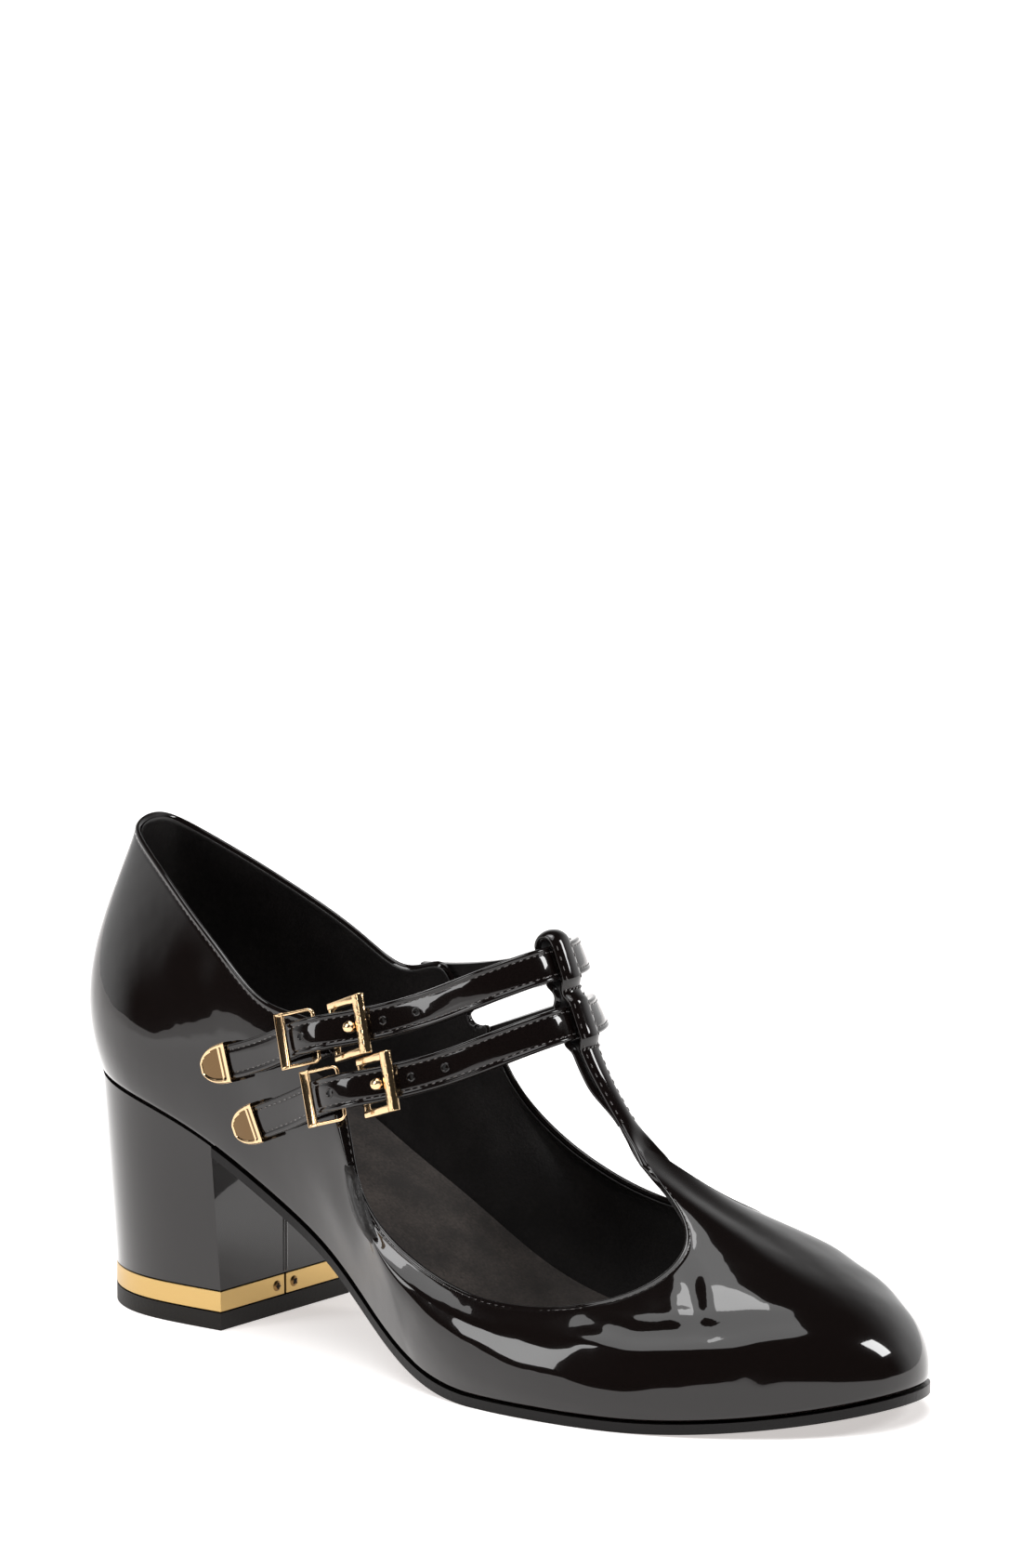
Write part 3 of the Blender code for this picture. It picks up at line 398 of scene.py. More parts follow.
TOPLINE = (
    (0.000, 0.040, 0.040, 0.000, 1.000, 1.000), (0.050, 0.046, 0.046, 0.175, 0.976, 0.976),
    (0.110, 0.086, 0.086, 0.330, 0.921, 0.904), (0.180, 0.162, 0.162, 0.512, 0.837, 0.804),
    (0.250, 0.232, 0.232, 0.625, 0.780, 0.747), (0.320, 0.289, 0.289, 0.682, 0.761, 0.752),
    (0.380, 0.338, 0.333, 0.700, 0.826, 0.867), (0.425, 0.376, 0.355, 0.705, 0.862, 0.805),
    (0.475, 0.402, 0.386, 0.725, 0.745, 0.768), (0.530, 0.423, 0.412, 0.762, 0.560, 0.654),
    (0.590, 0.452, 0.452, 0.800, 0.421, 0.588), (0.660, 0.535, 0.535, 0.838, 0.382, 0.560),
    (0.730, 0.632, 0.632, 0.835, 0.351, 0.520), (0.800, 0.719, 0.719, 0.725, 0.390, 0.510),
    (0.860, 0.770, 0.770, 0.525, 0.490, 0.555), (0.900, 0.776, 0.776, 0.350, 0.590, 0.625),
    (0.940, 0.743, 0.743, 0.180, 0.716, 0.725), (0.970, 0.700, 0.700, 0.082, 0.830, 0.830),
    (1.000, 0.689, 0.689, 0.000, 0.861, 0.861),
)
SWELL = (
    (0.00, 0.150, 0.367, 0.367, 0.125, 0.000), (0.12, 0.117, 0.333, 0.300, 0.100, 0.000),
    (0.25, 0.067, 0.267, 0.233, 0.067, 0.000), (0.40, 0.050, 0.250, 0.233, 0.067, 0.000),
    (0.52, 0.067, 0.217, 0.167, 0.083, 0.000), (0.62, 0.067, 0.183, 0.100, 0.100, 0.033),
    (0.72, 0.075, 0.167, 0.058, 0.100, 0.075), (0.80, 0.083, 0.200, 0.050, 0.090, 0.160),
    (0.88, 0.083, 0.270, 0.070, 0.075, 0.270), (0.94, 0.058, 0.350, 0.180, 0.033, 0.320),
    (1.00, 0.050, 0.390, 0.285, 0.000, 0.315),
)
BAR_LINE = (
    (0.00, 0.000, 0.000, 0.95), (0.17, 0.220, 0.150, 0.85), (0.32, 0.408, 0.289, 0.87),
    (0.49, 0.588, 0.452, 0.97), (0.64, 0.720, 0.613, 1.00), (0.89, 0.912, 0.884, 1.00),
    (1.00, 1.000, 1.000, 1.00),
)
RING_SPREAD = ((0.00, 0.00), (0.33, 0.36), (0.60, 0.53), (0.75, 0.75), (1.00, 1.00))
LATERAL_LEAD = 0.36
LATERAL_STEPS = (1 / 3, 2 / 3)
MEDIAL_LEAD = 0.50
MEDIAL_STEPS = (0.24, 0.62)
MEDIAL_TURN = 0.40
# Each strap's stations from its tip to its sewn end, as share of the length and rise over the lower edge
STRAP_STATIONS = {
    Level.UPPER: ((0.2645, 0.457), (0.308, 0.602), (0.346, 0.738), (0.338, 0.800), (0.300, 0.715)),
    Level.LOWER: ((0.304, 0.328), (0.352, 0.502), (0.387, 0.640), (0.392, 0.700), (0.362, 0.590)),
}
HINGE_AHEAD = {Level.UPPER: 0.0104, Level.LOWER: 0.0116}
STRAP_DROP = {Level.UPPER: STRAP_WIDTH / 2, Level.LOWER: STRAP_WIDTH / 2 + STRAP_PITCH}
HOLE_SHARE = 0.58
LOOP_EASE = 0.17
# Notch between the wings of each side: place along, rise, length and height as shares, and tilt in degrees
NOTCHES = {Side.LATERAL: (0.392, 0.755, 1.20, 0.52, 20.0), Side.MEDIAL: (0.381, 0.778, 0.56, 0.30, 10.0)}
SEARCH_STEPS = 41
SEARCH_ROUNDS = 6


class Curve:
    """Smooth curve through a table's values, with slopes solved so that its bend is continuous."""

    def __init__(self, knots: Sequence[float], values: Sequence[float], closed: bool = False) -> None:
        """Solve the slopes.

        Args:
            knots: places along the curve, rising.
            values: the value at each place.
            closed: whether the curve joins its own start.
        """
        self.knots = np.asarray(knots, float)
        self.values = np.asarray(values, float)
        steps = np.diff(self.knots)
        rates = np.diff(self.values) / steps
        count = len(self.knots)
        system = np.zeros((count, count))
        right = np.zeros(count)
        for i in range(1, count - 1):
            system[i, i - 1] = steps[i]
            system[i, i] = 2.0 * (steps[i - 1] + steps[i])
            system[i, i + 1] = steps[i - 1]
            right[i] = 3.0 * (steps[i] * rates[i - 1] + steps[i - 1] * rates[i])
        if closed:
            system[0, 0], system[0, -1] = 1.0, -1.0
            system[-1, 0], system[-1, 1] = 2.0 / steps[0], 1.0 / steps[0]
            system[-1, -2], system[-1, -1] = 1.0 / steps[-1], 2.0 / steps[-1]
            right[-1] = 3.0 * (rates[0] / steps[0] + rates[-1] / steps[-1])
        else:
            system[0, 0], system[0, 1], right[0] = 2.0, 1.0, 3.0 * rates[0]
            system[-1, -1], system[-1, -2], right[-1] = 2.0, 1.0, 3.0 * rates[-1]
        self.slopes = np.linalg.solve(system, right)

    def _span(self, at: Array) -> tuple[Array, Array, Array]:
        """Give the span that holds each place, its width and the share along it."""
        span = np.clip(np.searchsorted(self.knots, at, side="right") - 1, 0, len(self.knots) - 2)
        width = self.knots[span + 1] - self.knots[span]
        return span, width, (at - self.knots[span]) / width

    def __call__(self, at: Any) -> Array:
        """Give the value at each place."""
        span, width, t = self._span(np.asarray(at, float))
        rise = (2 * t**3 - 3 * t**2 + 1) * self.values[span] + (3 * t**2 - 2 * t**3) * self.values[span + 1]
        lean = (t**3 - 2 * t**2 + t) * self.slopes[span] + (t**3 - t**2) * self.slopes[span + 1]
        return rise + lean * width

    def slope(self, at: Any) -> Array:
        """Give the rate of change at each place."""
        span, width, t = self._span(np.asarray(at, float))
        rate = (self.values[span + 1] - self.values[span]) / width
        ends = (3 * t**2 - 4 * t + 1) * self.slopes[span] + (3 * t**2 - 2 * t) * self.slopes[span + 1]
        return 6 * (t - t**2) * rate + ends


def open_curve(table: Sequence[Sequence[float]], column: int) -> Curve:
    """Curve of one column of a table over its first column."""
    rows = np.array(table)
    return Curve(rows[:, 0], rows[:, column])


def ring_curve(table: Sequence[Sequence[float]], lateral: int, medial: int, odd: bool = False) -> Curve:
    """Closed curve round the shoe, from -1 to 1: medial values first, then lateral ones."""
    rows = np.array(table)
    sign = -1.0 if odd else 1.0
    knots = np.concatenate([-rows[::-1, 0], rows[1:, 0]])
    values = np.concatenate([sign * rows[::-1, medial], rows[1:, lateral]])
    return Curve(knots, values, closed=True)


@dataclass
class Last:
    """The form that the shoe is made on."""

    length: float = 0.228
    ball_width: float = 0.080
    heel_height: float = 0.057
    collar_rise: float = 0.060
    toe_spring: float = 0.0058
    breast_x: float = 0.0495
    heel_taper: tuple[float, float] = (0.952, 0.885)
    tread: float = SOLE_THICKNESS + GAP

    def __post_init__(self) -> None:
        """Solve the curves."""
        self.bend = open_curve(BEND, 1)
        self.rise = open_curve(PROFILE, 1)
        self.spring = open_curve(PROFILE, 2)
        self.feather_along = ring_curve(FEATHER, 1, 1)
        self.feather_side = ring_curve(FEATHER, 2, 2, odd=True)
        self.top_along = ring_curve(TOPLINE, 1, 2)
        self.top_side = ring_curve(TOPLINE, 3, 3, odd=True)
        self.top_rise = ring_curve(TOPLINE, 4, 5)
        self.swell = [ring_curve(SWELL, column, column) for column in range(1, 6)]
        heel_run = self.breast_x - float(self.feather_along(0.0)) * self.length
        back = self.breast_x - heel_run * self.heel_taper[0]
        self.origin_x = (self.breast_x + back) / 2
        places = np.linspace(0.0, 0.5, 501)
        self.breast_u = float(np.interp(self.breast_x, self.feather_along(places) * self.length, places))

    def shift(self, x: Any) -> Array:
        """Side shift of the centre line at a place along the shoe."""
        return self.bend(np.asarray(x) / self.length) * self.ball_width

    def bottom(self, x: Any) -> Array:
        """Height of the upper's lower edge above the floor."""
        along = np.asarray(x) / self.length
        rise = np.maximum(self.rise(along), 0.0) * (self.heel_height - self.tread)
        return self.tread + rise + np.maximum(self.spring(along), 0.0) * self.toe_spring

    def feather(self, u: Any) -> tuple[Array, Array, Array, Array]:
        """Plan place of the upper's lower edge and the outward direction there."""
        x = self.feather_along(u) * self.length
        y = -self.feather_side(u) * self.ball_width / 2
        run = self.feather_along.slope(u) * self.length
        side = -self.feather_side.slope(u) * self.ball_width / 2
        size = np.hypot(run, side)
        return x, y, side / size, -run / size

    def raw(self, u: Any, v: Any) -> Array:
        """Point of the outer face in the last's own frame, whose x starts at the heel."""
        u = np.asarray(u, float)
        v = np.asarray(v, float)
        x, y, out_x, out_y = self.feather(u)
        swells = [curve(u) * self.collar_rise for curve in self.swell]
        low_out, low_up, high_down, high_out, high_fore = swells
        top_x = self.top_along(u) * self.length
        top_z = self.bottom(top_x) + self.top_rise(u) * self.collar_rise
        start = np.stack([x, y, self.bottom(x)], -1)
        leave = start + np.stack([out_x * low_out, out_y * low_out, low_up], -1)
        end = np.stack([top_x, -self.top_side(u) * self.ball_width / 2, top_z], -1)
        reach = end + np.stack([out_x * high_out + high_fore, out_y * high_out, -high_down], -1)
        v = v[..., None]
        point = (1 - v)**3 * start + 3 * v * (1 - v)**2 * leave + 3 * v**2 * (1 - v) * reach + v**3 * end
        point[..., 1] += self.shift(point[..., 0])
        return point

    def point(self, u: Any, v: Any) -> Array:
        """Point of the upper's outer face: u round the shoe, v from the sole (0) to the top edge (1)."""
        return self.raw(u, v) - np.array([self.origin_x, 0.0, 0.0])

    def normal(self, u: Any, v: Any) -> Array:
        """Outward direction of the upper's outer face."""
        step = 1e-3
        u = np.asarray(u, float)
        v = np.asarray(v, float)
        around = self.raw(u + step, v) - self.raw(u - step, v)
        upwards = self.raw(u, v + step) - self.raw(u, v - step)
        return unit(np.cross(around, upwards))

    def climb_rate(self, u: Any, v: Any) -> Array:
        """Distance along the face for one unit of v."""
        step = 2e-3
        return np.linalg.norm(self.raw(u, v) - self.raw(u, np.asarray(v) - step), axis=-1) / step

    def spot(self, x: float, z: float, side: Side) -> tuple[float, float]:
        """Find the place on the face at a length along the last and a height.

        Args:
            x: place along the last, from its heel.
            z: height over the floor.
            side: which side of the shoe.

        Returns:
            The place's u and v.
        """
        rings = side.value * np.linspace(0.2, 0.6, SEARCH_STEPS)
        heights = np.linspace(0.2, 1.0, SEARCH_STEPS)
        grid = self.raw(rings[:, None], heights[None, :])
        gaps = np.hypot(grid[..., 0] - x, grid[..., 2] - z)
        ring, height = np.unravel_index(np.argmin(gaps), gaps.shape)
        place = np.array([rings[ring], heights[height]])
        small = 1e-4
        for _ in range(SEARCH_ROUNDS):
            here = self.raw(place[0], place[1])
            by_u = (self.raw(place[0] + small, place[1]) - here) / small
            by_v = (self.raw(place[0], place[1] + small) - here) / small
            system = np.array([[by_u[0], by_v[0]], [by_u[2], by_v[2]]])
            place = place + np.linalg.solve(system, np.array([x - here[0], z - here[2]]))
        return float(place[0]), float(place[1])

    def station(self, along: float, rise: float, side: Side) -> tuple[Array, Array]:
        """Point and outward direction at a strap station."""
        x = along * self.length
        u, v = self.spot(x, float(self.bottom(x)) + rise * self.collar_rise, side)
        return self.point(u, v), self.normal(u, v)


@dataclass
class Bar:
    """Middle line of the T bar, from the vamp (0) to its fold (1)."""

    last: Last
    top_height: float = 0.0978
    top_x: float = 0.1306

    def __post_init__(self) -> None:
        """Solve the line and its lengths."""
        self.rest = GAP / 2 + WALL
        self.loop = STRAP_THICKNESS / 2 + GAP + LOOP_PLAY + WALL
        base = self.last.point(1.0, 1.0)
        top = np.array([self.top_x - self.last.origin_x, 0.0, self.top_height])
        climb = unit((top - base) * (1.0, 0.0, 1.0))
        self.start = base - self.rest * np.array([climb[2], 0.0, -climb[0]])
        self.top = top
        self.back = open_curve(BAR_LINE, 1)
        self.up = open_curve(BAR_LINE, 2)
        self.breadth = open_curve(BAR_LINE, 3)
        self.steps = np.linspace(0.0, 1.0, 401)
        points = self.point(self.steps)
        run = np.concatenate([[0.0], np.cumsum(np.linalg.norm(np.diff(points, axis=0), axis=1))])
        self.below = run[-1] - run

    def point(self, step: Any) -> Array:
        """Point of the middle line."""
        step = np.asarray(step, float)
        x = self.start[0] + self.back(step) * (self.top[0] - self.start[0])
        z = self.start[2] + self.up(step) * (self.top[2] - self.start[2])
        return np.stack([x, self.last.shift(x + self.last.origin_x), z], -1)

    def frame(self, step: Any) -> tuple[Array, Array]:
        """Upward and forward directions of the bar."""
        step = np.asarray(step, float)
        small = 1e-3
        up = self.point(np.minimum(step + small, 1.0)) - self.point(np.maximum(step - small, 0.0))
        up[..., 1] = 0.0
        up = unit(up)
        return up, np.stack([up[..., 2], np.zeros_like(up[..., 0]), -up[..., 0]], -1)

    def step_below_top(self, distance: float) -> float:
        """Step of the bar that lies a distance below its top, measured along it."""
        return float(np.interp(distance, self.below[::-1], self.steps[::-1]))

    def offset(self, step: Any) -> Array:
        """Distance of a layer's outer face from the middle: wider where a strap passes through."""
        run = np.interp(step, self.steps, self.below)
        share = np.zeros_like(run)
        for drop in STRAP_DROP.values():
            beyond = np.abs(run - drop) - STRAP_WIDTH / 2 - GAP
            share = np.maximum(share, 1.0 - np.clip(beyond / (STRAP_PITCH * LOOP_EASE), 0.0, 1.0))
        return self.rest + share * share * (3 - 2 * share) * (self.loop - self.rest)


# Mesh helpers


def grid_places(work: Work, columns: int, rows: int) -> tuple[list[Vert], Array, Array]:
    """Add a grid and give its vertices with their whole-number column and row."""
    made = bmesh.ops.create_grid(work, x_segments=columns, y_segments=rows, size=0.5)
    verts = made["verts"]
    places = np.array([vert.co[:2] for vert in verts]) + 0.5
    return verts, np.rint(places[:, 0] * columns).astype(int), np.rint(places[:, 1] * rows).astype(int)


def put(verts: Sequence[Vert], places: Array) -> None:
    """Move each vertex to its place."""
    for vert, place in zip(verts, places):
        vert.co = place


def slab(columns: int, rows: int, top: PlaceFunction, bottom: PlaceFunction,
         under_index: int = 0) -> Work:
    """Make a closed solid between two faces, each given by a function of the shares along and across.

    Args:
        columns: steps along.
        rows: steps across.
        top: places of the upper face.
        bottom: places of the lower face.
        under_index: material index of the lower face.

    Returns:
        The bmesh that holds it.
    """
    work = bmesh.new()
    verts, _, _ = grid_places(work, columns, rows)
    made = bmesh.ops.extrude_face_region(work, geom=work.faces[:])
    under = [item for item in made["geom"] if isinstance(item, Vert)]
    for face in (item for item in made["geom"] if isinstance(item, Face)):
        face.material_index = under_index
    for group, place in ((verts, top), (under, bottom)):
        shares = np.array([vert.co[:2] for vert in group]) + 0.5
        put(group, place(shares[:, 0], shares[:, 1]))
    return work


def add_sweep(work: Work, line: Array, side: Array, out: Array, radii: tuple[float, float],
              sides: int = 12, closed: bool = False) -> None:
    """Add a round bar along a line.

    Args:
        work: the bmesh that receives it.
        line: points of its middle.
        side: sideways direction at each point.
        out: outward direction at each point.
        radii: half its width and half its height.
        sides: faces round it.
        closed: whether the line joins its own start.
    """
    count = len(line)
    verts, along, turn = grid_places(work, count if closed else count - 1, sides)
    index = along % count
    angle = turn / sides * math.tau
    places = line[index] + side[index] * (radii[0] * np.cos(angle))[:, None]
    put(verts, places + out[index] * (radii[1] * np.sin(angle))[:, None])
    bmesh.ops.remove_doubles(work, verts=verts, dist=MERGE)
    if not closed:
        rims = [edge for edge in work.edges if edge.is_boundary]
        bmesh.ops.holes_fill(work, edges=rims)


def new_piece(name: str, work: Work, materials: Sequence[bpy.types.Material],
              replaces: Sequence[str] = (), sharp: float | None = 32.0) -> bpy.types.Object:
    """Turn a bmesh into a finished piece that rides on the shoe.

    Args:
        name: the piece's name.
        work: its mesh, freed here.
        materials: its materials in order of index.
        replaces: the nodes that it stands for.
        sharp: angle in degrees past which an edge stays sharp, or None for smooth all over.

    Returns:
        The new object.
    """
    bmesh.ops.remove_doubles(work, verts=work.verts, dist=MERGE)
    bmesh.ops.recalc_face_normals(work, faces=work.faces)
    mesh = bpy.data.meshes.new(name)
    work.to_mesh(mesh)
    work.free()
    mesh.shade_smooth()
    if sharp is not None:
        mesh.set_sharp_from_angle(angle=math.radians(sharp))
    piece = bpy.data.objects.new(name, mesh)
    bpy.context.scene.collection.objects.link(piece)
    for material in materials:
        mesh.materials.append(material)
    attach(piece, "root")
    if replaces:
        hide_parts(*replaces)
    LOG.info("%s: %d faces", name, len(mesh.polygons))
    return piece


def soften(piece: bpy.types.Object, width: float, segments: int = 2, angle: float = 40.0) -> None:
    """Round a piece's edges."""
    bevel = piece.modifiers.new("softened", "BEVEL")
    bevel.width = width
    bevel.segments = segments
    bevel.limit_method = "ANGLE"
    bevel.angle_limit = math.radians(angle)
    bevel.harden_normals = True


def refine(piece: bpy.types.Object, level: int) -> None:
    """Smooth a piece with a subdivision surface."""
    surface = piece.modifiers.new("refined", "SUBSURF")
    surface.levels = level
    surface.render_levels = level


def round_edges(work: Work, edges: Sequence[Edge], width: float, segments: int) -> None:
    """Round some edges of a bmesh."""
    bmesh.ops.bevel(work, geom=edges, offset=width, segments=segments, profile=0.5, affect="EDGES",
                    material=-1)


def axes_matrix(forward: Array, across: Array, out: Array) -> Matrix:
    """Rotation that takes X, Y and Z to three directions."""
    return Matrix((forward, across, out)).transposed().to_4x4()


def even_places(line: Array, pitch: float) -> Array:
    """Spread places evenly along a line.

    Args:
        line: points of the line.
        pitch: distance between places.

    Returns:
        The places' fractional index along the line.
    """
    run = np.concatenate([[0.0], np.cumsum(np.linalg.norm(np.diff(line, axis=0), axis=1))])
    count = max(int(run[-1] / pitch), 1)
    return np.interp((np.arange(count) + 0.5) * run[-1] / count, run, np.arange(len(line)))


def lerp_rows(rows: Array, index: Array) -> Array:
    """Read rows at fractional indexes."""
    low = np.clip(np.floor(index).astype(int), 0, len(rows) - 2)
    share = (index - low)[:, None]
    return rows[low] * (1 - share) + rows[low + 1] * share


@dataclass
class Thread:
    """Rows of stitches: short rounded threads sunk at both ends."""

    pitch: float = 0.0019
    length: float = 0.0014
    width: float = 0.00036
    height: float = 0.00030

    def sew(self, work: Work, line: Array, out: Array, lean: float = 0.0) -> None:
        """Sew one row.

        Args:
            work: the bmesh that receives the stitches.
            line: points of the seam on the surface.
            out: outward direction at each point.
            lean: turn of each stitch off the seam, in degrees.
        """
        index = even_places(line, self.pitch)
        places = lerp_rows(line, index)
        outs = unit(lerp_rows(out, index))
        ways = lerp_rows(np.gradient(line, axis=0), index)
        sizes = Matrix.Diagonal((self.length / 2, self.width / 2, self.height / 2, 1.0))
        spin = Matrix.Rotation(math.radians(lean), 4, "Z")
        for place, outward, way in zip(places, outs, ways):
            forward = unit(way - outward * np.dot(way, outward))
            turn = axes_matrix(forward, np.cross(outward, forward), outward)
            bmesh.ops.create_icosphere(work, subdivisions=1, radius=1.0,
                                       matrix=Matrix.Translation(place) @ turn @ spin @ sizes)


BAR_THREAD = Thread(pitch=0.0023, length=0.0013, width=0.0004, height=0.0003)
CROSS_THREAD = Thread(pitch=0.00105, length=0.0012, width=0.00045, height=0.0005)
STRAP_THREAD = Thread(pitch=0.0018, length=0.0013, width=0.0004, height=0.00034)

# Upper


@dataclass
class Upper:
    """Patent upper with its lining, folded top edge, T bar, notches and seams."""

    last: Last
    bar: Bar
    finishes: Finishes
    ring_steps: int = 272
    bar_columns: int = 10
    body_rows: int = 28
    rim_mm: tuple[float, ...] = (6.8, 4.8, 3.4, 2.6, 2.15, 1.75, 1.3, 0.8, 0.35, 0.0)
    relief_mm: tuple[tuple[float, float], ...] = (
        (0.0, -0.50), (0.35, -0.06), (0.8, 0.20), (1.3, 0.22), (1.75, -0.10), (2.15, -0.04), (2.6, 0.02),
        (3.4, 0.0))
    relief_fade: tuple[float, float] = (2.6, 1.2)
    crown: float = 0.0005
    plump: float = 0.0007
    front_steps: tuple[float, float, int] = (0.012, 1.0, 76)
    fold_steps: int = 13
    back_steps: tuple[float, float, int] = (1.0, 0.14, 62)
    back_sinks: tuple[float, float] = (0.38, 0.15)
    back_width: tuple[float, float] = (0.80, 0.16)
    flare: float = 0.15
    notch_side: float = 0.015
    notch_fine: float = 1.5
    notch_reach: tuple[float, float] = (0.60, 1.45)
    notch_mouth: float = 0.8
    hem_inset: float = 0.00185
    hem_end: float = 0.955
    hem_gap: float = 1.08
    hem_least: int = 8
    bar_seam: float = 0.74

    def ring_place(self, turn: Array) -> Array:
        """Place round the ring of a column, from -1 to 1."""
        rows = np.array(RING_SPREAD)
        return np.copysign(np.interp(np.abs(turn), rows[:, 0], rows[:, 1]), turn)

    def rim_relief(self, distance: Array) -> Array:
        """Height of the folded edge over the face, at a distance from the edge."""
        marks, heights = np.array(self.relief_mm).T / 1000
        return np.interp(distance, marks, heights)

    def sheet(self) -> Work:
        """Outer face of the ring and the bar."""
        work = bmesh.new()
        rows = self.body_rows + len(self.rim_mm) - 1
        verts, column, row = grid_places(work, self.ring_steps, rows)
        turn = 2 * column / self.ring_steps - 1
        u = self.ring_place(turn)
        rate = self.last.climb_rate(u, np.ones_like(u))
        rim = np.array(self.rim_mm) / 1000
        start = 1 - rim[0] / rate
        far = np.where(row >= self.body_rows, rim[np.clip(row - self.body_rows, 0, None)], 1.0)
        v = np.where(row < self.body_rows, start * row / self.body_rows, 1 - far / rate)
        places = self.last.point(u, v)
        share = self.bar_columns / self.ring_steps
        fade = 1 - smooth_share(np.abs(turn), *(1 - columns * share for columns in self.relief_fade))
        relief = self.rim_relief(far) * fade + self.creases(places)
        put(verts, places + self.last.normal(u, v) * relief[:, None])
        self.add_bar(work, share)
        bmesh.ops.remove_doubles(work, verts=work.verts, dist=WELD)
        for side in Side:
            self.cut_notch(work, side)
        return work

    def creases(self, places: Array) -> Array:
        """Depth of the wearing creases at each place of the face."""
        relief = np.zeros(len(places))
        for start, end, width, depth in CREASES:
            head, tail = self.last.point(*start), self.last.point(*end)
            way = tail - head
            share = np.clip((places - head) @ way / (way @ way), 0.0, 1.0)
            near = np.linalg.norm(places - head - share[:, None] * way, axis=1) / (width / 1000)
            ends = np.sin(np.pi * np.clip(share, 0.02, 0.98)) ** CREASE_FADE
            relief -= depth / 1000 * np.exp(-near**2) * ends
            relief += depth / 2000 * np.exp(-(near - CREASE_LIP)**2 * 2) * ends
        return relief

    def bar_rows(self) -> list[tuple[Array, Array, float, float]]:
        """Rows of the bar: middle of its face, outward direction, half width, and step on the front layer."""
        rows = []
        for step in np.linspace(*self.front_steps):
            _, ahead = self.bar.frame(step)
            place = self.bar.point(step) + ahead * self.bar.offset(step)
            rows.append((place, ahead, float(self.bar.breadth(step)) * BAR_WIDTH / 2, step))
        up, ahead = self.bar.frame(1.0)
        for angle in np.linspace(0, math.pi, self.fold_steps)[1:-1]:
            way = ahead * math.cos(angle) + up * math.sin(angle)
            rows.append((self.bar.point(1.0) + way * self.bar.loop, way, BAR_WIDTH / 2, 1.0))
        begins, ends = self.back_sinks
        least, gain = self.back_width
        for step in np.linspace(*self.back_steps):
            _, ahead = self.bar.frame(step)
            clear = float(smooth_share(step, ends, begins))
            place = self.bar.point(step) - ahead * self.bar.offset(step) * clear
            half = float(self.bar.breadth(step)) * BAR_WIDTH / 2 * (least + gain * clear)
            rows.append((place, -ahead, half, 1.0))
        return rows

    def add_bar(self, work: Work, share: float) -> None:
        """Add the T bar, flaring out of the vamp's top edge."""
        rows = self.bar_rows()
        verts, column, row = grid_places(work, self.bar_columns, len(rows))
        spread = 2 * column / self.bar_columns - 1
        turn = np.where(spread <= 0, 1 - share * np.abs(spread), -1 + share * np.abs(spread))
        base = self.last.point(self.ring_place(turn), np.ones_like(turn))
        start = self.bar.point(0.0) + self.bar.frame(0.0)[1] * self.bar.rest
        for i, vert in enumerate(verts):
            if row[i] == 0:
                vert.co = base[i]
                continue
            place, ahead, half, step = rows[row[i] - 1]
            side = np.array([0.0, half * spread[i], 0.0])
            settled = float(smooth_share(step, 0.0, self.flare))
            crowned = place + side + ahead * self.bar_lift(spread[i])
            vert.co = crowned * settled + (base[i] + place - start) * (1 - settled)

    def notch_shares(self, side: Side, places: Array) -> Array:
        """Distance of places from a notch's middle, 1 on its edge."""
        along, rise, length, height, tilt = NOTCHES[side]
        x = along * self.last.length
        z = float(self.last.bottom(x)) + rise * self.last.collar_rise
        ahead = places[:, 0] + self.last.origin_x - x
        above = places[:, 2] - z
        turn = math.radians(tilt)
        long = (ahead * math.cos(turn) + above * math.sin(turn)) / (length * STRAP_PITCH / 2)
        tall = (above * math.cos(turn) - ahead * math.sin(turn)) / (height * STRAP_PITCH / 2)
        return np.stack([long, tall], -1)

    def notch_faces(self, work: Work, side: Side) -> list[tuple[Face, float]]:
        """Faces on one side of the shoe, each with its distance from the notch's middle, 1 on its edge."""
        faces = [face for face in work.faces if face.calc_center_median().y * side.value < -self.notch_side]
        shares = self.notch_shares(side, np.array([face.calc_center_median() for face in faces]))
        return list(zip(faces, np.hypot(*shares.T)))

    def cut_notch(self, work: Work, side: Side) -> None:
        """Open the notch between the wings of one side and draw its edge to the oval."""
        close = [face for face, far in self.notch_faces(work, side) if far < self.notch_fine]
        near = [edge for face in close for edge in face.edges]
        bmesh.ops.subdivide_edges(work, edges=list(dict.fromkeys(near)), cuts=2, use_grid_fill=True)
        inside = [face for face, far in self.notch_faces(work, side) if far < 1.0]
        rim = {vert for face in inside for vert in face.verts}
        bmesh.ops.delete(work, geom=inside, context="FACES")
        _, _, length, height, tilt = NOTCHES[side]
        turn = math.radians(tilt)
        least, most = self.notch_reach
        for vert in (vert for vert in rim if vert.is_valid and vert.is_boundary):
            share = self.notch_shares(side, np.array([vert.co]))[0]
            size = float(np.hypot(*share))
            if least <= size <= most and share[0] <= self.notch_mouth:
                grow = 1 / size - 1
                long = share[0] * grow * length * STRAP_PITCH / 2
                tall = share[1] * grow * height * STRAP_PITCH / 2
                vert.co.x += long * math.cos(turn) - tall * math.sin(turn)
                vert.co.z += long * math.sin(turn) + tall * math.cos(turn)

    def build(self) -> None:
        """Make the shell, then its seams."""
        faces = [self.finishes.patent, self.finishes.lining]
        shell = new_piece("upper_shell", self.sheet(), faces, ["upper"], sharp=None)
        wall = shell.modifiers.new("wall", "SOLIDIFY")
        wall.thickness = WALL
        wall.offset = -1.0
        wall.material_offset = 1
        refine(shell, 1)
        self.sew_top_edge()
        self.sew_bar()

